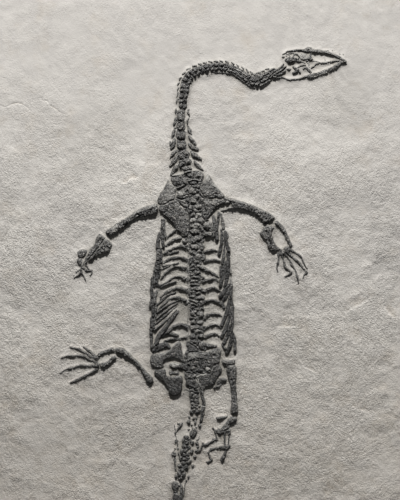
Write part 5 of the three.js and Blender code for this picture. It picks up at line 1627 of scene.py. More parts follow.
@dataclass
class BellyRibs:
    """Thin rods of the belly's armour down each flank, each lying on the one before it."""

    height: float = 1.35
    stoutness: float = 1.2
    shade: float = -0.2
    unevenness: float = 0.2
    left: tuple = (
        (((163, 220.6), (163.4, 228), (165.2, 238)), (4, 3.8, 2.4), 0.1),
        (((161.4, 228), (162.4, 238), (163.4, 247.4)), (1.8, 3.2, 2.6), -0.3),
        (((159.6, 233), (158.2, 241), (157.8, 249)), (2.2, 3.6, 3.6), -0.2),
        (((161, 249), (161, 258), (161.6, 263)), (2.4, 3, 2.6), -0.4),
        (((158.2, 250.6), (158.2, 256)), (3.4, 3.2), 0.4), (((157.6, 257), (158.4, 266)), (3.2, 4), 0),
        (((158, 264), (157.4, 276)), (5.4, 5.4), -0.5),
        (((155.2, 268), (154.4, 278), (153.8, 286)), (2.4, 3.4, 2.6), -0.1),
        (((157, 275), (157, 284)), (3, 2.6), -0.5),
        (((152, 278), (151.8, 288), (152.4, 301)), (2.2, 3.2, 3.2), -0.3),
        (((156.8, 291), (155, 298), (154.6, 306.6)), (2.6, 3.2, 3.4), 0.1),
        (((151.4, 300), (151, 307.6)), (2.8, 3.4), -0.5), (((153.2, 308), (153.2, 319)), (3.2, 3.2), -0.3),
        (((156.2, 305), (156, 319.4)), (2.6, 2.2), 0), (((151.8, 318.6), (151.8, 330)), (3.4, 3.6), -0.3),
        (((154.4, 318), (154.6, 328.6)), (1.6, 1.4), 0), (((150.6, 329), (151.4, 338)), (2.6, 3.2), -0.4),
        (((151.4, 337), (151.8, 348)), (2.6, 2.2), -0.2),
        (((156.6, 285.6), (160, 285.4), (164, 284)), (2.4, 2.2, 1.6), -0.3),
        (((178.5, 311.5), (172, 319), (166, 327), (160, 335), (157, 342), (154, 352)),
            (2, 3.4, 4, 4.2, 4.2, 3), -0.2),
        (((172, 293.6), (164.5, 298.8), (156.6, 304.7)), (1, 1.6, 1.5), 0),
        (((180, 299.4), (168, 305.2), (156.6, 312.7)), (1, 1.8, 1.6), -0.2),
        (((177.6, 303), (167, 310), (156.6, 318.6)), (0.9, 1.7, 1.5), 0.1),
        (((177, 306.4), (166.4, 314.6), (155.8, 323.8)), (0.9, 1.6, 1.5), -0.2),
        (((177, 309.6), (166, 320), (155, 330)), (0.9, 1.7, 1.5), 0.1),
        (((167, 254.8), (173, 253), (178.6, 251.4)), (1.5, 1.6, 0.9), -0.2),
        (((160, 287.6), (166, 284.6), (176, 281.4)), (1.4, 1.6, 0.8), 0),
        (((160.4, 299.8), (168, 295.6), (176, 291.8)), (1.4, 1.5, 0.8), -0.2),
        (((164, 341.6), (170, 339.4), (176, 338.8)), (1.4, 1.6, 1), -0.3),
        (((169, 334.4), (173, 334), (178, 335.4)), (1.6, 3.2, 1.8), -0.1),
        (((154, 351), (160, 347), (166, 345), (170, 348)), (4, 6, 5, 2.4), -0.4),
        (((163, 266), (170, 265.5), (178.4, 262.8)), (1.2, 1.5, 0.9), -0.2),
        (((160, 270.4), (166, 267.4), (172, 264.8)), (1.2, 1.2, 0.8), 0))
    right: tuple = (
        (((213.6, 217.4), (213.8, 224), (213.4, 230), (213, 236.6)), (3.2, 3.2, 3, 2.6), 0.15),
        (((219, 213), (217.8, 221), (216.6, 231), (217, 239.8)), (2.2, 2.8, 3, 3.4), -0.2),
        (((220.8, 214), (222.4, 221), (223.6, 228.6)), (1.6, 2.6, 2.6), 0.35),
        (((221.4, 230), (221.8, 239), (220.8, 247), (219.2, 255)), (1.8, 2.6, 3, 3), -0.4),
        (((225, 231), (226.6, 234), (227.4, 237.4)), (2.4, 2.8, 2.2), 0.3),
        (((224.6, 233), (226.4, 243), (228.6, 250), (229, 255.4)), (2.2, 3, 3.4, 2.4), -0.3),
        (((223.8, 240), (224.4, 250), (223.4, 258), (221.6, 263.4)), (1.2, 2, 2.6, 2.6), -0.1),
        (((228, 254), (228.2, 264), (227.2, 277), (225.2, 287)), (3, 3.8, 3.8, 3.2), -0.5),
        (((224.8, 262), (223.4, 272), (220.6, 286)), (2.2, 3.4, 3.6), -0.2),
        (((220.8, 267), (221, 276)), (2.8, 2.6), -0.5), (((230.5, 268), (230.8, 273)), (1.5, 1.5), 0.7),
        (((230.5, 279), (231.8, 286)), (1.6, 2.6), 0.7),
        (((229.4, 285), (225.4, 290), (220.4, 296.6)), (2.2, 3.8, 3.6), -0.4),
        (((230.8, 288), (228, 293), (223.6, 299.8)), (2, 3.2, 3), -0.2),
        (((231.8, 288), (231, 296), (231.6, 303), (233, 307.8)), (2, 2.8, 3, 2.4), -0.2),
        (((229.6, 299), (228, 308), (225.4, 316), (221.8, 325)), (2.4, 3.4, 3.6, 2.8), -0.5),
        (((230.8, 309), (229.2, 318), (226.4, 327), (221.8, 336.6)), (1.8, 2.8, 3.4, 3), -0.3),
        (((232.6, 307), (232.4, 320), (231.8, 331)), (2.8, 3, 2.8), -0.1),
        (((230, 326), (227.6, 336), (222.6, 345)), (2.4, 3.6, 3), -0.4),
        (((222, 345.4), (225.6, 349.4)), (1.8, 2), -0.3),
        (((233.2, 333), (234.9, 342), (235, 351)), (2.2, 3, 2.6), -0.1),
        (((231.6, 334), (230.6, 344), (226.4, 353)), (2.8, 4, 3), -0.3))

    def bones(self) -> list[Bone]:
        """One piece for each flank."""
        made = []
        for side, rods in (("left", self.left), ("right", self.right)):
            forms: list[Form] = []
            for k, (path, width, tone) in enumerate(rods):
                high = self.height * (1 + self.unevenness * math.sin(2.7 * k))
                wide = [self.stoutness * part for part in width]
                forms.append(Bar(path, wide, high, tone + self.shade, 2.4, 0.3, 1.0, 0.7))
            made.append(Bone(f"belly_ribs_{side}", forms, [], 0.3, 2.4, 0.6))
        return made


@dataclass
class Hips:
    """The pubes, the ischia, what shows of the right ilium, and the sacral vertebrae."""

    plate_height: float = 1.6
    sacral_height: float = 2.0

    def plates(self) -> list[Bone]:
        """The flat bones of the hips, uppermost first."""
        pubis_left = (
            (178.5, 341.5), (181, 343), (182, 350), (184, 357), (185.4, 361.6), (183.6, 363.6), (180, 361),
            (174, 359), (167, 360), (163.5, 363), (164, 367.4), (158, 368.6), (153, 367), (150, 362),
            (150.5, 356), (156, 354), (164, 352.5), (170, 349.5), (174, 344.5))
        pubis_right = (
            (187.4, 357), (189, 353), (196, 351.4), (203, 352.5), (209, 351), (213, 349), (217, 347.5),
            (220.5, 348.5), (221.5, 352), (220.5, 358), (218.6, 363), (213, 364.5), (208, 363.5),
            (205.5, 360), (200, 358.5), (194, 359.5), (189.5, 361.5), (187.4, 363))
        ischium_left = (
            (154.5, 371), (158, 369.8), (164, 368.8), (166, 371), (167, 376), (172, 376.5), (179, 375.5),
            (182.5, 376), (182.6, 383), (182.2, 391), (180.5, 395), (177, 397.5), (172, 397.5),
            (169, 395.5), (167, 391), (165, 386.5), (162, 382.5), (158, 379), (154.5, 376.5))
        ischium_right = (
            (196.4, 376.6), (201, 374.8), (206, 374), (210, 373.4), (211, 369.6), (213, 366), (218, 363.8),
            (220.6, 366.6), (222.6, 370.6), (219.6, 374.6), (217, 379), (214.4, 383), (211.6, 385.6),
            (206, 387.6), (203.6, 390), (203.6, 394.6), (202, 394.6), (200.6, 390), (199, 384), (197, 380))
        ilium = ((222, 359.5), (227, 360), (235, 359.5), (234.5, 363.4), (229, 365), (225, 367), (222.4, 364))
        return [
            Bone("pubis_left", [Plate(pubis_left, self.plate_height, 2.0, 0.15, -0.05)], [
                Patch((158, 356), (6, 4.6), 0.4), Patch((156, 364), (4, 4.6), 0.35),
                Patch((170, 348.6), (1.8, 9), 0.5, 0.0, 48), Patch((180, 352), (3, 9), -0.25),
                Patch((171, 351), (1, 1), -0.6, -0.3),
                Furrow(((178, 347), (174, 353), (166, 356), (156, 359)), 0.9, 0.2),
            ], 0.28, trim=0.8),
            Bone("pubis_right", [Plate(pubis_right, self.plate_height, 1.8, 0.12, -0.02)], [
                Patch((193, 355), (7, 3.4), 0.7), Patch((213, 351.6), (8, 2), 0.3),
                Patch((218, 355), (4, 8), 0.12), Patch((208, 358), (6, 4), -0.2, -0.3),
                Furrow(((200, 354), (207, 356.4), (213, 355), (215, 358)), 0.6, 0.4),
                Furrow(((209, 352), (212, 357), (214, 362)), 0.5, 0.3),
            ], 0.34, trim=0.6),
            Bone("ischium_left", [Plate(ischium_left, self.plate_height, 2.4, 0.15, -0.42)], [
                Patch((175, 377.6), (8, 2.4), 0.35), Patch((160, 373), (5, 3), 0.2),
                Furrow(((170, 379), (176, 384), (177, 393)), 1.0, 0.2),
            ], 0.24, trim=1.8),
            Bone("ischium_right", [
                Plate(ischium_right, 0.9 * self.plate_height, 2.0, 0.1, -0.25),
                Bar(((196.4, 377), (200, 375.4), (206, 374)), 1.7, self.plate_height, 0.9, furrow=0),
                Bar(((197.6, 378), (198.4, 381), (199.4, 384)), 1.5, 1.15 * self.plate_height, 1.6, furrow=0),
                Bar(((200, 385), (201.6, 389.4), (203, 394)), 1.8, self.plate_height, 0.5, furrow=0),
            ], [
                Patch((207, 385.6), (5, 2), 0.7, -0.5, -12),
                Furrow(((219, 366), (217, 369), (216, 372)), 0.6, 0.5),
            ], 0.2),
            Bone("ilium_right", [Plate(ilium, self.plate_height, 1.8, 0.1, 0.0)],
                [Patch((226, 360.6), (5, 1.6), 0.5), Patch((224.6, 364.6), (2, 2), -0.4)]),
        ]

    def sacrum(self) -> Bone:
        """The sacral vertebrae, a knob and bars to their left, and wedges to their right."""
        wedge = ((216.2, 381), (222, 377.6), (226, 378.4), (226.4, 380.4), (221, 382.6), (217, 383.8))
        sheet = (
            (185.4, 351), (200, 350), (213, 361), (220, 363), (214, 374), (205, 375), (196, 377.4),
            (198.6, 386), (193, 389), (187.4, 386), (185, 378), (184, 368))
        stump = ((186, 379.6), (191, 378.8), (196, 379.6), (198.6, 385), (197, 388), (191.6, 387),
            (186.6, 384.4))
        prism = ((206, 367.6), (208.6, 367), (210.4, 369.4), (208, 371.4), (206, 370.4))
        high = self.sacral_height
        rows = (
            (190.4, 364, 4.4, 3, -0.1, 10), (195.4, 363.6, 3.6, 3, 0.1, -10), (201.6, 364, 2.8, 3.8, -0.6),
            (188, 369, 3, 3.8, -0.3), (193.8, 369.4, 3.8, 2.8, -0.05, 20), (199.6, 370, 3.2, 2, -0.5),
            (205, 366, 2.2, 3, -0.3), (190, 376, 3.8, 2.6, 0.1, 10), (194.8, 375.8, 2.6, 2.2, 0.15))
        return Bone("sacral_vertebrae", [
            Plate(sheet, 0.5 * high, 1.6, 0.0, -0.15), *lumps(rows, 0.8 * high),
            Boss((175, 365.6), (5.8, 3.4), 1.1 * high, 0.1, 0, 2.2),
            Bar(((169.6, 364.2), (174, 363.4), (179, 364.2)), 1.3, 0.6, 1.2),
            Bar(((170.4, 373), (178.4, 373)), (4, 3.4), 0.9, -0.2),
            Bar(((180, 366.6), (183.4, 366), (186, 367.6)), (6, 8, 6), 1.2, -0.45),
            Plate(prism, 1.5, 1.2, 0.0, 1.6, False), Plate(wedge, 1.2, 1.2, 0.0, -0.3, False),
            Plate(stump, 0.7 * high, 1.6, 0.0, -0.35),
            Bar(((212.4, 386.4), (214, 388.4), (215.6, 390.4)), 0.9, 0.7, -0.2),
            Bar(((215, 387.6), (219, 386), (222.4, 384)), (2.4, 3, 1.6), 0.8, 0.25),
            Bar(((184, 389), (187, 389.8), (189.6, 392)), 1.0, 0.6),
            Boss((183.4, 393.4), (0.9, 0.9), 0.7, -0.2),
        ], [
            Patch((175, 364), (5, 1.6), 0.9), Patch((175, 368.6), (6, 1.4), -0.7),
            Furrow(((204, 370), (206, 372.6), (211, 373)), 0.9, 1.2),
        ], 0.4, 0.8, 1.3)


@dataclass
class Legs:
    """Thighs, shins and feet."""

    upper_height: float = 1.8
    lower_height: float = 1.5
    digit_height: float = 1.0
    digit_tone: float = -0.2

    def upper(self) -> list[Bone]:
        """Both femora."""
        left = (
            (115.8, 348.4), (121, 347.8), (127, 351), (134, 358), (140, 363.4), (146, 371), (151, 376),
            (153.6, 379), (153.8, 383.6), (151.4, 386.2), (148.6, 386), (146, 383), (144, 378),
            (140, 371.2), (134, 365), (128, 360), (121, 356), (116, 354.4))
        right = (
            (227, 366.4), (231, 364.8), (235.6, 366), (237, 371), (236.6, 377), (236.2, 385),
            (236.8, 393), (237.4, 401), (237.8, 409), (238.2, 413.4), (235, 415), (230.8, 414.4),
            (230.8, 408), (231.2, 399), (230.2, 391), (229, 383), (227, 376), (226.2, 371))
        return [
            Bone("femur_left", [Plate(left, self.upper_height, 3.6, 0.0, -0.1)], [
                Patch((136, 361), (14, 1.6), 0.4, 0.0, 45),
                Furrow(((119, 350.6), (130, 357.6), (140, 367), (149, 379)), 0.6, 0.3),
                Patch((124, 350.6), (5, 1.6), 0.3, 0.0, 35), Patch((151, 383), (2.6, 3), -0.15),
            ], 0.5, trim=1.6),
            Bone("femur_right", [Plate(right, self.upper_height, 3.6, 0.0, -0.1)], [
                Furrow(((231, 370), (232, 384), (233.8, 398), (234.6, 411)), 0.6, 0.3),
                Patch((234.6, 372), (1.6, 6), 0.25, 0.0), Furrow(((230, 392), (237, 390)), 0.4, 0.3),
                Patch((231.4, 367), (3, 1.6), 0.6), Patch((229, 373), (2, 5), -0.3),
            ], 0.4, trim=1.0),
        ]

    def left(self) -> list[Bone]:
        """The left shin, and the foot with its toes side by side."""
        tibia = ((113.4, 349.6), (108, 351), (103, 353), (99.4, 354.6))
        fibula = ((114.6, 357.6), (111, 361), (107, 363.6), (101.6, 365.6))
        low = self.digit_height
        toes = (
            (((96.6, 357.4), (90, 351.6), (86, 348.6), (83.6, 346.8)), (3.2, 2.1, 2.7, 1.7)),
            (
                ((97.4, 359.6), (92, 357), (87, 354), (82, 351.5), (79.5, 349), (74, 348), (69.8, 347)),
                (3.2, 1.9, 2.8, 1.7, 2.4, 1.6, 1.3),
            ),
            (
                ((96, 362.6), (88, 358.6), (84, 356.5), (78, 355.5), (73, 356), (67, 356), (61, 358)),
                (3, 1.7, 2.7, 1.6, 2.4, 1.5, 1.2),
            ),
            (
                (
                    (96.4, 365.8), (87, 366), (81, 365.5), (74, 367.5), (67, 369), (63, 371.4),
                    (59.8, 373.2),
                ),
                (3, 1.9, 2.8, 1.7, 2.4, 1.5, 1.2),
            ),
            (
                ((97.4, 369), (91, 373), (86, 375.5), (80, 378.5), (75, 381), (70.2, 382.7)),
                (3, 2.3, 3.2, 2, 2.7, 1.4),
            ),
        )
        nicks = (
            ((85, 356), (87.4, 351.6)), ((80.4, 352.6), (83.4, 349.6)), ((84.6, 359), (86, 354.6)),
            ((76, 353.6), (76.4, 357.6)), ((83.6, 367.8), (83, 363.6)), ((73, 370), (71.6, 366)),
            ((87, 378), (84.4, 373.6)), ((78.4, 382), (76, 378)))
        return [
            Bone("tibia_left", [Bar(tibia, (4.4, 3, 2.9, 4.2), self.lower_height)],
                [Furrow(((111, 350), (102, 353)), 0.45, 0.3)]),
            Bone("fibula_left", [Bar(fibula, (4.6, 4.2, 4.5, 5.4), self.lower_height)],
                [Furrow(((112.6, 359), (104, 364.4)), 0.5, 0.3)]),
            Bone("foot_left", [
                Boss((97.4, 364.8), (2.6, 2.7), self.lower_height),
                Boss((97.4, 357.4), (2.3, 3), self.lower_height),
                Bar(((97.6, 356), (96.6, 361), (97, 368.6)), (2.6, 2.4, 2.4), 0.7 * low, -0.2),
                *(Bar(path, width, low, self.digit_tone) for path, width in toes),
            ], [Furrow(nick, 0.45, 0.45) for nick in nicks], 0.3, warp=0.5),
        ]

    def right(self) -> list[Bone]:
        """The right shin, and the foot turned back under it."""
        tibia = (
            (230.4, 416.6), (236.4, 417.4), (236.2, 420.6), (231.4, 423.4), (228, 428.4), (223, 430.4),
            (220.4, 428.6), (224, 424.4), (227.4, 420.4))
        fibula = ((216, 417), (222, 416.4), (228, 415.6), (226.4, 417.8), (221, 419.8), (217, 420.2))
        low = self.digit_height
        toes = (
            (((214.6, 430), (215.6, 434.4), (217, 439.4)), (2.6, 1.5, 2)),
            (
                (
                    (216.8, 438.8), (213.8, 440.4), (208.6, 443.6), (205, 444.8), (203, 444.6),
                    (201.5, 448.4), (200, 451), (196, 452.2),
                ),
                (1.8, 3.2, 1.8, 2.8, 2, 1.8, 2, 1.2),
            ),
            (((224.6, 432.6), (224.6, 441), (225.4, 447)), (2.8, 1.9, 2.6)),
            (((229.4, 432.4), (229, 438), (228.6, 446.4)), (2.8, 1.6, 1.9)),
            (((229, 446.4), (226, 448.2), (222, 447.2), (216, 448.4), (210.6, 449.5)), (2, 4, 2.2, 1.6, 2.4)),
            (((210.8, 449.2), (208.8, 452.6), (209.5, 456.6), (211.6, 460.2)), (2.4, 1.6, 1.5, 2.6)),
            (((212, 459.8), (208.6, 461.6), (206.2, 461.8)), (2.2, 1.6, 1.2)),
            (((226, 450.4), (225, 453.4), (221.8, 460.6)), (2.4, 3.8, 4.8)))
        knobs = (
            (213, 428.5), (216.6, 439.6), (213.4, 439.6), (206.5, 445), (203, 443.6), (224.6, 433),
            (224.8, 441.6), (225, 448.4), (229.6, 434), (229.6, 446), (220.4, 446.8), (211, 449.4),
            (208.4, 452.6), (209.6, 457), (211.6, 460), (208, 462.4), (225, 453), (222.6, 457.6))
        return [
            Bone("tibia_right", [Plate(tibia, self.lower_height, 2.2, 0.0, 0.0)],
                [Furrow(((233, 419.4), (228, 423), (223, 428.6)), 0.6, 0.35)]),
            Bone("fibula_right", [Plate(fibula, 0.9 * self.lower_height, 1.7, 0.0, 0.05)]),
            Bone("foot_right", [
                Boss((218.5, 430.2), (2.6, 1.8), 0.8 * self.lower_height),
                Boss((219.2, 433), (1.9, 1.5), 0.7 * self.lower_height),
                Boss((228.4, 430.4), (2.5, 1.9), 0.8 * self.lower_height),
                Boss((224, 431.4), (2, 1.6), 0.7 * self.lower_height),
                Bar(((214, 430), (219, 432), (228.6, 431.4)), (2.4, 2.6, 2.4), 0.6 * low, -0.2),
                *(Bar(path, width, low, self.digit_tone) for path, width in toes),
                *(Boss(knob, (1.3, 1.1), 1.15 * low, -0.35) for knob in knobs),
            ], [
                Furrow(((206.4, 446.6), (206.8, 442.6)), 0.45, 0.45),
                Furrow(((219, 449.6), (219, 446)), 0.45, 0.4),
                Furrow(((221.6, 450.4), (227.6, 451)), 0.6, 0.7),
            ], 0.3, warp=0.5),
        ]


@dataclass
class Tail:
    """The tail: broken and shifted bones behind the hips, and a thinning row to its end."""

    height: float = 2.0
    small_height: float = 1.5
    rear_count: int = 18
    rear_halves: tuple[float, float] = (3.8, 1.2)

    def bones(self) -> list[Bone]:
        """Both pieces of the tail."""
        return [self.front(), self.rear()]

    def front(self) -> Bone:
        """The vertebrae next to the hips, with the rods and fragments round them."""
        high, small = self.height, self.small_height
        shard = ((192.4, 427.6), (195, 428.6), (198, 430), (197, 434), (194, 437.6), (190, 438), (189.4, 434))
        rows = (
            (192, 391, 3, 2, 0.2), (196.6, 389, 2.4, 1.5, 0.5), (196.8, 392.6, 2.8, 1.8, -0.5, 10),
            (191.6, 395, 2.4, 3, 0.2), (196, 396.4, 2.8, 2.4, 0), (192, 400.4, 2.8, 1.6, -0.3),
            (196.8, 401.4, 2.8, 2.6, -0.1, 25), (192.6, 403.4, 1.8, 1.6, 0.3),
            (191.6, 407, 1.5, 1.6, -0.2), (196.6, 407.2, 1.9, 1.5, -0.1), (199.4, 406.2, 1.2, 0.8, 0.7),
            (191.4, 411.8, 2.2, 2.7, -0.2), (197, 411.8, 2.7, 2.2, -0.2, 20), (194.4, 409.4, 1.1, 1.2, 0.4),
            (199.8, 410.6, 0.9, 1.6, 0.2), (189.2, 417.4, 1.1, 1.8, 0.1), (188.6, 422, 2, 2.4, -0.1),
            (193.8, 419, 1.6, 1.2, -0.2), (196.6, 418, 1, 1.4, 0.3), (195.2, 423, 1.5, 2.4, 0, 10),
            (191.6, 424.6, 1.2, 0.9, 0.6), (196.2, 427, 1.2, 1, 0.9), (188.6, 429.4, 1.3, 0.7, 0),
            (200, 426, 1.8, 2.4, -0.1), (186, 437, 3, 1.9, -0.4), (183.8, 441.4, 2.2, 3, 0),
            (187, 442, 2.6, 2.6, -0.3), (183.4, 446.4, 2.2, 1.9, -0.3), (188.8, 447.4, 2.3, 1.8, -0.4),
            (186, 450.6, 2.4, 2, -0.1), (181.6, 451, 1.6, 2.6, 0), (188.4, 453.6, 1.6, 2.2, 0.1),
            (184.6, 454.6, 2, 1.7, -0.4, 20), (188.2, 458.4, 1.8, 2, -0.4), (180.8, 458, 1.7, 3, -0.1),
            (184.8, 459, 1.8, 1.6, 0.3), (183.8, 463, 2, 2.2, -0.2), (188.8, 462.6, 1.9, 1.5, -0.1),
            (180, 465.6, 2.2, 2.4, 0), (186.6, 467, 2, 2.4, -0.3), (182, 470, 2.2, 2.2, -0.3),
            (178.6, 473.6, 2, 3, -0.2), (184, 474.6, 2, 2.4, 0), (180.6, 478.6, 2.4, 1.6, -0.3),
            (176, 476, 1.6, 3, 0.1), (192.6, 442.8, 1.7, 1.5, -0.2), (197, 443.8, 2, 1.6, -0.3, 30),
            (198, 446.6, 1.3, 1.1, -0.3), (191.6, 451.4, 2, 1.8, -0.2), (197, 451, 2.2, 1.2, 0.1, -15),
            (195, 456.4, 2, 1, 0.2, -15), (192.8, 466, 1.7, 1.1, 0.1, -30), (190.6, 460.4, 1, 1.4, 0.3),
            (175.6, 433.6, 1.4, 1.9, -0.2), (176.4, 441, 1.9, 2.2, -0.3), (174.8, 448.6, 1, 0.8, -0.1),
            (177.6, 448.4, 1.1, 0.9, -0.2), (178.4, 453.6, 1.1, 1.2, -0.4), (173.6, 454.4, 2.7, 2.6, -0.05),
            (174.6, 460, 1.3, 2, -0.4), (188.6, 476.6, 1.2, 1.4, 0), (186.4, 480.6, 1, 1, 0.1))
        strand = ((199, 385.6), (200, 390), (202, 395), (203.2, 400), (203.6, 405), (203, 410), (202, 417),
            (200.6, 424))
        return Bone("tail_front", [
            Bar(((193.6, 389), (194, 397), (194.4, 404)), (9, 10, 9), 0.35 * high, 0.35, 3.0),
            Bar(((186.4, 438), (185.4, 448), (184.4, 458), (183, 468), (179.6, 477)), (7, 7, 8, 7.4, 7), 0.5,
                0.1, 3),
            Bar(strand, (1.2, 2.2, 3, 3.6, 3.9, 3.8, 3.4, 2.6), 1.2, -0.3),
            Bar(((200.8, 406.5), (205, 406.4)), 1.0, 1.3, 1.5),
            Plate(shard, small, 1.4, 0.0, -0.1, False), *lumps(rows, 0.8 * high),
            Bar(((196, 440.6), (198.4, 439.6), (199.4, 436.8)), 1.1, 0.9, 0.1),
            Bar(((190.6, 438.4), (190.6, 441.6)), (2.4, 2), 0.8, -0.2),
            Bar(((178, 423.8), (182.8, 423.6)), (1.8, 2), 1.1, -0.1),
            Bar(((181.4, 424), (179.4, 427.6), (176.4, 431.6), (175.6, 434)), (3.6, 3, 1.4, 1.8), 1.0, 0.1),
            Bar(((174.5, 425), (175.6, 430.4)), (1.3, 1.2), 0.7, 0.2),
            Bar(((175.8, 435), (177.2, 441), (177.6, 448)), (1, 1.2, 0.9), 0.6, 0.1),
            Bar(((174.6, 449.4), (172.4, 452.4)), 1.0, 0.6, 0.1),
            Bar(((174.6, 457), (175.4, 463), (176, 470.6)), (1.9, 2.3, 1.8), 1.0, -0.1),
        ], [
            Furrow(((184, 441.6), (189.6, 442.4)), 0.5, 0.5),
            Furrow(((203, 388), (203.6, 398), (203.4, 404)), 0.45, 0.3),
        ], 0.4, 0.9, 1.0)

    def rear(self) -> Bone:
        """The end of the tail: bones in a row along a curve, each smaller than the last."""
        route = ((175, 486), (176.6, 500), (177.4, 525), (180, 555), (185, 592), (191, 632), (198, 675))
        share = np.linspace(0.0, 1.0, self.rear_count)
        centres = evenly(route, self.rear_count).tolist()
        halves = (self.rear_halves[0] * (1 - share) + self.rear_halves[1] * share).tolist()
        joints = [
            (((ax + bx) / 2, (ay + by) / 2), half)
            for (ax, ay), (bx, by), half in zip(centres[:-1], centres[1:], halves)
        ]
        return Bone("tail_rear", [
            *vertebrae(centres, halves, self.small_height, 0.02, 0.7),
            Bar(((179.4, 484.6), (181.4, 488), (181.5, 501), (180.2, 516)), (2.6, 3.2, 2.8, 1.4), 1.1),
            Bar(((185.6, 482.6), (184.4, 489), (183.6, 496)), 1.3, 0.7, 0.1),
        ], [
            *(
                Furrow(((x - half, y + 0.4), (x, y + 0.9), (x + half, y + 0.4)), 0.5, 0.6)
                for (x, y), half in joints
            ),
            Furrow(((175.6, 484), (177, 500), (177.8, 520)), 0.5, 0.35),
        ])


@dataclass
class Skeleton:
    """All bones. One further up the list lies over those below it, which stop short of it."""

    head: Head = field(default_factory=Head)
    neck: Neck = field(default_factory=Neck)
    girdle: ShoulderGirdle = field(default_factory=ShoulderGirdle)
    arms: Arms = field(default_factory=Arms)
    trunk: Trunk = field(default_factory=Trunk)
    ribs: Ribs = field(default_factory=Ribs)
    belly: BellyRibs = field(default_factory=BellyRibs)
    hips: Hips = field(default_factory=Hips)
    legs: Legs = field(default_factory=Legs)
    tail: Tail = field(default_factory=Tail)

    def bones(self) -> list[Bone]:
        """Every piece of the skeleton, uppermost first."""
        ribs = self.ribs.bones()
        return [
            *self.head.bones(),
            self.girdle.clavicle_arch(),
            *self.neck.bones(),
            *self.girdle.blades(),
            *self.girdle.coracoids(),
            *self.arms.bones(),
            *self.legs.upper(),
            *self.hips.plates(),
            *self.legs.left(),
            *self.legs.right(),
            *ribs[:2],
            *self.trunk.bones(),
            self.hips.sacrum(),
            *self.tail.bones(),
            *self.belly.bones(),
            *ribs[2:],
        ]


# ---------------------------------------------------------------------------------------- materials


class Slot(Enum):
    """The slots of the record for rock and bone; no piece here is given one."""

    ROCK = "matrix"
    BONE = "fossil_bone"


Colour = tuple[float, float, float, float]
Socket = bpy.types.NodeSocket


def grey(value: float, warmth: float = 0.0) -> Colour:
    """A grey of the given strength; warmth above zero lifts its red and lowers its blue."""
    return (value * (1 + warmth), value, value * (1 - warmth), 1.0)


class Noise(NamedTuple):
    """One noise: the size of its cells in millimetres, its detail and its roughness."""

    size: float
    detail: float = 2.0
    rough: float = 0.5


@dataclass
class Graph:
    """A node tree while it is being wired."""

    tree: bpy.types.NodeTree

    def node(self, kind: str, links: dict[int | str, Socket], **settings: object) -> bpy.types.Node:
        """Adds a node.

        Args:
            kind: its type.
            links: what feeds each of its inputs.
            settings: its own settings; a name that ends in _in sets the input of that name.

        Returns:
            The node.
        """
        made = self.tree.nodes.new(kind)
        for key, value in settings.items():
            if key.endswith("_in"):
                made.inputs[key[:-3].replace("_", " ")].default_value = value
            else:
                setattr(made, key, value)
        for key, source in links.items():
            self.tree.links.new(source, made.inputs[key])
        return made

    def sum(self, operation: str, *values: Socket | float) -> Socket:
        """The result of a Math node on values that are sockets or numbers."""
        made = self.tree.nodes.new("ShaderNodeMath")
        made.operation = operation
        for place, value in zip(made.inputs, values):
            if isinstance(value, (int, float)):
                place.default_value = value
            else:
                self.tree.links.new(value, place)
        return made.outputs[0]

    def span(self, value: Socket, low: float, high: float, to_low: float, to_high: float) -> Socket:
        """A value carried from one range to another, smoothly and kept inside it."""
        made = self.node("ShaderNodeMapRange", {"Value": value}, interpolation_type="SMOOTHSTEP")
        for key, number in zip(("From Min", "From Max", "To Min", "To Max"), (low, high, to_low, to_high)):
            made.inputs[key].default_value = number
        return made.outputs["Result"]

    def mix(self, share: Socket | float, one: Socket | Colour, two: Socket | Colour) -> Socket:
        """A colour between two, each a socket or a plain colour."""
        made = self.tree.nodes.new("ShaderNodeMix")
        made.data_type = "RGBA"
        for index, value in ((0, share), (6, one), (7, two)):
            if isinstance(value, Socket):
                self.tree.links.new(value, made.inputs[index])
            else:
                made.inputs[index].default_value = value
        return made.outputs[2]

    def stretched(self, place: Socket, scale: tuple[float, float, float], turn: float = 0.0) -> Socket:
        """Places turned about the upright axis by degrees, and then scaled."""
        turned = self.node(
            "ShaderNodeMapping", {"Vector": place}, Rotation_in=(0.0, 0.0, math.radians(turn))
        )
        made = self.node("ShaderNodeMapping", {"Vector": turned.outputs[0]}, Scale_in=scale)
        return made.outputs[0]

    def noise(self, place: Socket, kind: Noise) -> Socket:
        """Noise of the given kind, about 0.5 on the mean."""
        made = self.node(
            "ShaderNodeTexNoise",
            {"Vector": place},
            Scale_in=1 / kind.size,
            Detail_in=kind.detail,
            Roughness_in=kind.rough,
        )
        return made.outputs[0]

    def tinted(self, colour: Socket | Colour, mask: Socket, strength: float, paint: Colour) -> Socket:
        """A colour taken towards another by a mask times a strength."""
        return self.mix(self.sum("MULTIPLY", mask, strength), colour, paint)

    def attribute(self, name: str) -> Socket:
        """A value kept on the piece's vertices."""
        return self.node("ShaderNodeAttribute", {}, attribute_name=name).outputs["Fac"]


def new_group(
    name: str, takes: dict[str, str], gives: dict[str, str]
) -> tuple[Graph, dict[str, Socket], bpy.types.Node]:
    """An empty node group.

    Args:
        name: its name.
        takes: its inputs' names and kinds.
        gives: its outputs' names and kinds.

    Returns:
        Its graph, its inputs by name, and the node that takes its outputs.
    """
    tree = bpy.data.node_groups.new(name, "ShaderNodeTree")
    for way, sockets in (("INPUT", takes), ("OUTPUT", gives)):
        for key, kind in sockets.items():
            tree.interface.new_socket(name=key, in_out=way, socket_type=f"NodeSocket{kind}")
    into = tree.nodes.new("NodeGroupInput")
    out = tree.nodes.new("NodeGroupOutput")
    return Graph(tree), {key: into.outputs[key] for key in takes}, out


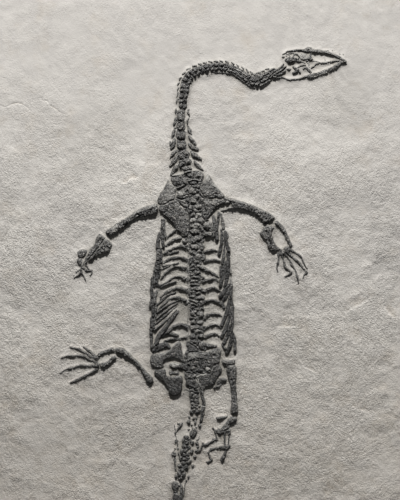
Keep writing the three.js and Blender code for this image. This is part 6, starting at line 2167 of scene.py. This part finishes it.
def grain_group() -> bpy.types.NodeTree:
    """Grain of fine stone: a height from three sizes of noise, and a mask of small dark specks."""
    graph, takes, out = new_group(
        "stone_grain",
        {"Place": "Vector", "Coarseness": "Float"},
        {"Height": "Float", "Specks": "Float"},
    )
    place = graph.node(
        "ShaderNodeVectorMath", {0: takes["Place"], "Scale": takes["Coarseness"]}, operation="SCALE"
    ).outputs[0]
    longer = graph.node("ShaderNodeMapping", {"Vector": place}, Scale_in=(1.0, 0.6, 1.0)).outputs[0]
    fine = graph.noise(place, Noise(0.45, 1.0, 0.6))
    middle = graph.noise(longer, Noise(1.0, 2.0, 0.6))
    large = graph.noise(longer, Noise(5.2, 2.0, 0.5))
    folds = graph.sum("ABSOLUTE", graph.sum("SUBTRACT", graph.noise(longer, Noise(3.1, 3.0, 0.6)), 0.5))
    folds = graph.span(folds, 0.0, 0.035, 0.0, 0.22)
    height = graph.sum("MULTIPLY_ADD", middle, 1.3, graph.sum("MULTIPLY", fine, 1.1))
    height = graph.sum("ADD", graph.sum("MULTIPLY_ADD", large, 2.2, height), folds)
    specks = graph.span(graph.noise(place, Noise(0.75, 2.0, 0.6)), 0.665, 0.74, 0.0, 1.0)
    graph.tree.links.new(height, out.inputs["Height"])
    graph.tree.links.new(specks, out.inputs["Specks"])
    return graph.tree


def wear_and_shade_group() -> bpy.types.NodeTree:
    """Wear and painted shade from a piece's crest value: a mask of rubbed high places, and one of low places
    that the bones darken as painted shade and the rock tints brown.
    """
    graph, takes, out = new_group(
        "crest_wear_and_shade",
        {"Crest": "Float", "Place": "Vector", "Breakup": "Float"},
        {"Rubbed": "Float", "Hollow": "Float"},
    )
    patches = graph.noise(takes["Place"], Noise(1.1, 3.0, 0.6))
    shift = graph.sum("MULTIPLY", graph.sum("SUBTRACT", patches, 0.5), takes["Breakup"])
    value = graph.sum("ADD", takes["Crest"], shift)
    graph.tree.links.new(graph.span(value, 0.05, 0.75, 0.0, 1.0), out.inputs["Rubbed"])
    graph.tree.links.new(graph.span(value, -0.05, -0.8, 0.0, 1.0), out.inputs["Hollow"])
    return graph.tree


def new_material(name: str) -> tuple[bpy.types.Material, Graph, bpy.types.Node, Socket]:
    """A material with its surface shader.

    Args:
        name: its name.

    Returns:
        The material, its graph, the shader node, and the piece's places in millimetres.
    """
    material = bpy.data.materials.new(name)
    material.use_nodes = True
    graph = Graph(material.node_tree)
    shader = material.node_tree.nodes["Principled BSDF"]
    own = graph.node("ShaderNodeTexCoord", {}).outputs["Object"]
    place = graph.node("ShaderNodeMapping", {"Vector": own}, Scale_in=(1 / MM, 1 / MM, 1 / MM))
    return material, graph, shader, place.outputs[0]


@dataclass(frozen=True)
class Finish:
    """What the materials of rock and bone share: stone grain, wear and painted shade in hollows, bumps and
    gloss.
    """

    name: str
    coarseness: float  # how much smaller than the group's own grain
    breakup: float  # how much the wear and painted shade are broken up
    bump: float  # millimetres
    roughness: tuple[float, float, float, float]  # from two values of a mask to two of roughness
    gloss: float

    def start(
        self, grain: bpy.types.NodeTree, wear_and_shade_tree: bpy.types.NodeTree
    ) -> tuple[bpy.types.Material, Graph, bpy.types.Node, Socket, bpy.types.Node, bpy.types.Node]:
        """Makes the material with its grain, and its wear and painted shade.

        Args:
            grain: the group for stone grain.
            wear_and_shade_tree: the group for wear and painted shade.

        Returns:
            The material, its graph, shader, places in millimetres, grain node, and wear and painted shade
            node.
        """
        made, graph, shader, place = new_material(self.name)
        stone = graph.node("ShaderNodeGroup", {}, node_tree=grain)
        graph.tree.links.new(place, stone.inputs["Place"])
        stone.inputs["Coarseness"].default_value = self.coarseness
        wear_and_shade = graph.node("ShaderNodeGroup", {}, node_tree=wear_and_shade_tree)
        graph.tree.links.new(graph.attribute("crest"), wear_and_shade.inputs["Crest"])
        graph.tree.links.new(place, wear_and_shade.inputs["Place"])
        wear_and_shade.inputs["Breakup"].default_value = self.breakup
        return made, graph, shader, place, stone, wear_and_shade

    def close(self, graph: Graph, shader: bpy.types.Node, height: Socket, mask: Socket) -> None:
        """Gives the shader its bumps, its roughness from a mask, and its gloss."""
        bump = graph.node("ShaderNodeBump", {"Height": height}, Distance_in=self.bump * MM)
        graph.tree.links.new(bump.outputs[0], shader.inputs["Normal"])
        graph.tree.links.new(graph.span(mask, *self.roughness), shader.inputs["Roughness"])
        shader.inputs["Specular IOR Level"].default_value = self.gloss


@dataclass(frozen=True)
class RockFinish(Finish):
    """The matrix: fine pale warm-grey limestone with brownish mottles and a woven diagonal grain."""

    name: str = "matrix_limestone"
    pale: Colour = (0.55, 0.531, 0.504, 1.0)
    base: Colour = (0.455, 0.439, 0.421, 1.0)
    brown: Colour = (0.43, 0.388, 0.336, 1.0)
    fleck: Colour = (0.3, 0.272, 0.238, 1.0)
    chalk: Colour = (0.68, 0.66, 0.62, 1.0)
    # the colour of stain and painted shade among the bones, and of the darker beds in the broken edge
    stained_and_shaded: Colour = (0.225, 0.215, 0.19, 1.0)
    speck: Colour = (0.16, 0.145, 0.125, 1.0)
    side: Colour = (0.37, 0.335, 0.285, 1.0)
    coarseness: float = 1.0
    breakup: float = 0.5
    bump: float = 0.36
    roughness: tuple[float, float, float, float] = (1.6, 2.6, 0.97, 0.86)
    gloss: float = 0.25
    clouds_noise: Noise = Noise(34.0, 4.0, 0.55)
    browns_noise: Noise = Noise(15.0, 5.0, 0.62)
    calm_noise: Noise = Noise(26.0, 3.0, 0.6)
    small_noise: Noise = Noise(0.42, 1.0, 0.6)
    beds_noise: Noise = Noise(1.1, 4.0, 0.6)
    weave_noise: Noise = Noise(0.9, 3.0, 0.6)
    cross_noise: Noise = Noise(0.8, 2.0, 0.5)

    def material(self, grain: bpy.types.NodeTree, wear_and_shade_tree: bpy.types.NodeTree) -> bpy.types.Material:
        """Makes it.

        Args:
            grain: the group for stone grain.
            wear_and_shade_tree: the group for wear and painted shade.

        Returns:
            The material.
        """
        made, graph, shader, place, stone, wear_and_shade = self.start(grain, wear_and_shade_tree)

        north = graph.node("ShaderNodeSeparateXYZ", {0: place}).outputs[1]
        clouds = graph.span(graph.noise(place, self.clouds_noise), 0.38, 0.64, 0.0, 1.0)
        # the pale clouds thin out towards the head end
        clouds = graph.sum("MULTIPLY", clouds, graph.span(north, 60.0, 170.0, 1.0, 0.2))
        colour = graph.mix(clouds, self.base, self.pale)
        browns = graph.span(graph.noise(place, self.browns_noise), 0.5, 0.72, 0.0, 0.5)
        # browner, and so a little darker, towards the tail end
        browns = graph.sum("ADD", browns, graph.span(north, 60.0, -80.0, 0.0, 0.5))
        colour = graph.mix(browns, colour, self.brown)
        calm = graph.span(graph.noise(place, self.calm_noise), 0.36, 0.62, 0.6, 1.2)
        calm = graph.sum("MULTIPLY", calm, graph.span(north, 40.0, 160.0, 1.0, 0.24))
        small = graph.noise(place, self.small_noise)
        dark = graph.sum("MULTIPLY", graph.span(small, 0.48, 0.68, 0.0, 1.0), calm)
        colour = graph.tinted(colour, dark, 0.55, self.fleck)
        bright = graph.sum("MULTIPLY", graph.span(small, 0.5, 0.3, 0.0, 1.0), calm)
        colour = graph.tinted(colour, bright, 0.55, self.chalk)
        # stain and painted shade: the rock darkened where the bones crowd together, as between the ribs
        colour = graph.tinted(colour, graph.attribute("stain_and_shade"), 0.75, self.stained_and_shaded)
        colour = graph.tinted(colour, wear_and_shade.outputs["Rubbed"], 0.35, self.pale)
        colour = graph.tinted(colour, wear_and_shade.outputs["Hollow"], 0.45, self.brown)
        colour = graph.tinted(colour, stone.outputs["Specks"], 0.5, self.speck)

        height_here = graph.node("ShaderNodeSeparateXYZ", {0: place}).outputs[2]
        depth = graph.span(height_here, SLAB_THICKNESS - 0.4, SLAB_THICKNESS - 1.6, 0.0, 0.75)
        beds = graph.noise(graph.stretched(place, (0.06, 0.06, 1.0)), self.beds_noise)
        bedded = graph.mix(graph.span(beds, 0.4, 0.6, 0.0, 1.0), self.side, self.stained_and_shaded)
        colour = graph.mix(depth, colour, bedded)
        graph.tree.links.new(colour, shader.inputs["Base Color"])

        weave = graph.noise(graph.stretched(place, (0.34, 1.0, 1.0), 38), self.weave_noise)
        cross = graph.noise(graph.stretched(place, (1.0, 0.28, 1.0), 24), self.cross_noise)
        height = graph.sum("MULTIPLY_ADD", weave, 0.3, stone.outputs["Height"])
        height = graph.sum("MULTIPLY_ADD", cross, 0.12, height)
        height = graph.sum("MULTIPLY", height, calm)
        self.close(graph, shader, height, stone.outputs["Height"])
        return made


@dataclass(frozen=True)
class BoneFinish(Finish):
    """The bones: charcoal phosphate, paler where it is worn, darkened in its low places as painted shade,
    with a low gloss and fibrous pits.
    """

    name: str = "bone_phosphate"
    body: Colour = (0.07, 0.0702, 0.0692, 1.0)
    dark: Colour = (0.011, 0.0108, 0.011, 1.0)
    light: Colour = (0.3, 0.293, 0.275, 1.0)
    rubbed: Colour = (0.163, 0.163, 0.158, 1.0)
    dust: Colour = (0.29, 0.272, 0.246, 1.0)
    coarseness: float = 1.15
    breakup: float = 0.9
    bump: float = 0.42
    roughness: tuple[float, float, float, float] = (0.35, 0.65, 0.32, 0.5)
    gloss: float = 0.7
    clouds_noise: Noise = Noise(1.3, 4.0, 0.75)
    flecks_noise: Noise = Noise(0.56, 1.0, 0.6)

    def material(self, grain: bpy.types.NodeTree, wear_and_shade_tree: bpy.types.NodeTree) -> bpy.types.Material:
        """Makes it.

        Args:
            grain: the group for stone grain.
            wear_and_shade_tree: the group for wear and painted shade.

        Returns:
            The material.
        """
        made, graph, shader, place, stone, wear_and_shade = self.start(grain, wear_and_shade_tree)

        tone = graph.attribute("tone")
        clouds = graph.noise(place, self.clouds_noise)
        colour = graph.mix(graph.span(clouds, 0.4, 0.64, 0.0, 0.85), self.body, self.dark)
        colour = graph.tinted(colour, wear_and_shade.outputs["Rubbed"], 0.45, self.rubbed)
        flecks = graph.noise(place, self.flecks_noise)
        colour = graph.mix(graph.span(flecks, 0.54, 0.64, 0.0, 0.68), colour, self.dust)
        colour = graph.mix(graph.span(flecks, 0.46, 0.36, 0.0, 0.85), colour, self.dark)
        colour = graph.tinted(colour, stone.outputs["Specks"], 0.4, self.rubbed)
        # painted shade: the bone's low places and cracks darkened towards black
        colour = graph.tinted(colour, wear_and_shade.outputs["Hollow"], 0.65, self.dark)
        colour = graph.mix(graph.span(tone, 0.0, -0.6, 0.0, 0.85), colour, self.dark)
        patchy = graph.sum("MULTIPLY_ADD", graph.sum("SUBTRACT", clouds, 0.5), 0.8, tone)
        colour = graph.mix(graph.span(patchy, 0.06, 1.0, 0.0, 0.95), colour, self.light)
        graph.tree.links.new(colour, shader.inputs["Base Color"])

        self.close(graph, shader, stone.outputs["Height"], clouds)
        return made


# ------------------------------------------------------------------------------------------- studio


@dataclass(frozen=True)
class Studio:
    """A pale floor, one soft lamp beyond the head end, an even dim surround, and a camera above."""

    lamp_place: tuple[float, float, float] = (-0.03, 1.1, 0.58)
    lamp_size: float = 0.1
    lamp_power: float = 28.8
    lamp_colour: tuple[float, float, float] = (1.0, 0.985, 0.96)
    surround: float = 0.052
    surround_colour: Colour = (0.97, 0.985, 1.0, 1.0)
    aim: tuple[float, float, float] = (0.0, 0.05, 0.016)  # where the lamp points
    floor_tones: tuple[float, float] = (0.68, 0.71)
    camera_place: tuple[float, float, float] = (0.0, 0.05, 0.6065)
    lens: float = 85.0
    floor_half: float = 6.0

    def build(self) -> None:
        """Sets up floor, lamp, surround and camera."""
        half = self.floor_half
        corners = np.array([(-half, -half, 0), (half, -half, 0), (half, half, 0), (-half, half, 0)], float)
        floor = mesh_object("studio_floor", corners, np.arange(4), np.array([4]), {}, False)
        paint, graph, shader, place = new_material("floor_paint")
        tint = graph.span(graph.noise(place, Noise(180.0, 2.0)), 0.3, 0.7, 0.0, 1.0)
        dim, pale = (grey(value, 0.01) for value in self.floor_tones)
        graph.tree.links.new(graph.mix(tint, dim, pale), shader.inputs["Base Color"])
        shader.inputs["Roughness"].default_value = 0.8
        floor.data.materials.append(paint)

        light = bpy.data.lights.new("key_lamp", "AREA")
        light.shape, light.size, light.energy = "DISK", self.lamp_size, self.lamp_power
        light.color = self.lamp_colour
        lamp = bpy.data.objects.new("key_lamp", light)
        lamp.location = self.lamp_place
        towards = Vector(self.aim) - Vector(self.lamp_place)
        lamp.rotation_euler = towards.to_track_quat("-Z", "Y").to_euler()
        bpy.context.scene.collection.objects.link(lamp)

        world = bpy.data.worlds.new("surround")
        world.use_nodes = True
        back = world.node_tree.nodes["Background"]
        back.inputs["Color"].default_value = self.surround_colour
        back.inputs["Strength"].default_value = self.surround
        bpy.context.scene.world = world
        bpy.context.scene.view_settings.view_transform = "Standard"

        view = bpy.data.cameras.new("camera")
        view.lens, view.sensor_width = self.lens, 36.0
        view.clip_start, view.clip_end = 0.01, 20.0
        camera = bpy.data.objects.new("camera", view)
        camera.location = self.camera_place
        bpy.context.scene.collection.objects.link(camera)
        bpy.context.scene.camera = camera


# --------------------------------------------------------------------------------------------- main

CRACKS: tuple[Points, ...] = (
    ((-8, 106), (0, 105), (5.7, 107), (10.5, 104.5), (17.2, 103), (23, 104.5), (27.7, 107.8), (32.5, 112.6)),
    ((240, 303.2), (246, 304.2), (251.2, 307.2), (254.3, 311.3), (261.4, 312.3), (266.5, 317),
     (270.6, 321), (270.6, 327), (275.7, 329)),
    ((38.3, 96.8), (43, 100.4), (47, 101), (51, 106), (55, 108), (59.3, 112), (66, 114.5)),
    ((206, 413), (212, 411.5), (220, 413), (228, 414)), ((61, 270), (66, 275), (72, 279)))
# Ovals of darker rock: among the bones they are partly stain and partly painted shade between them, further
# off broad mottles.
STAINS_AND_SHADE = (
    Patch((181, 196), (10, 20), 0.75), Patch((203, 192), (12, 14), 0.8),
    Patch((206, 232), (9, 16), 0.7, 0.0, 10), Patch((192, 300), (36, 54), 0.95),
    Patch((192, 262), (36, 24), 0.85), Patch((178, 315), (13, 11), 0.9), Patch((194, 372), (26, 22), 0.75),
    Patch((183, 150), (13, 26), 0.4), Patch((190, 430), (13, 44), 0.45),
    *(
        Patch((x, y), (wide, long), tone, 0.0, turn)
        for x, y, wide, long, tone, turn in (
            (344, 96, 26, 30, 0.3, 20), (96, 134, 44, 26, 0.2, -35), (84, 163, 30, 14, 0.22, -20),
            (40, 120, 50, 16, 0.12, 25), (320, 190, 60, 20, 0.13, -30), (60, 440, 60, 42, 0.14, -30),
            (18, 392, 22, 18, 0.2, 20), (300, 470, 44, 26, 0.18, 10), (330, 360, 50, 24, 0.13, 35),
            (60, 300, 40, 22, 0.1, 30), (110, 420, 30, 20, 0.12, 0),
        )
    ),
)
LEDGES: tuple[Points, ...] = (
    ((114.8, 178.6), (124.4, 183.4), (131, 178.6), (136, 178.6), (141.6, 172.9)),
    ((275.7, 329), (283, 327), (291, 327), (298, 327)), ((342, 315), (352, 309), (364, 302), (374.7, 296.5)),
    ((381, 303.7), (389, 313), (397, 323)), ((350, 405.7), (361, 410), (372.7, 414)),
    ((301, 365), (312, 371), (321.6, 376)))


def main() -> None:
    """Builds every piece round the frame, and the studio."""
    logging.basicConfig(level=logging.INFO, format="%(name)s: %(message)s")
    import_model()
    raster = Raster()
    bones = Skeleton().bones()
    for bone in bones:
        bone.lay(raster)
    ground = Ground(raster, STAINS_AND_SHADE)
    grain, wear_and_shade_tree = grain_group(), wear_and_shade_group()
    rock, charcoal = RockFinish().material(grain, wear_and_shade_tree), BoneFinish().material(grain, wear_and_shade_tree)
    MatrixSlab(ground, cracks=CRACKS, ledges=LEDGES).build(rock)
    for bone in bones:
        bone.build(ground, charcoal)
    Studio().build()


if __name__ == "__main__":
    main()
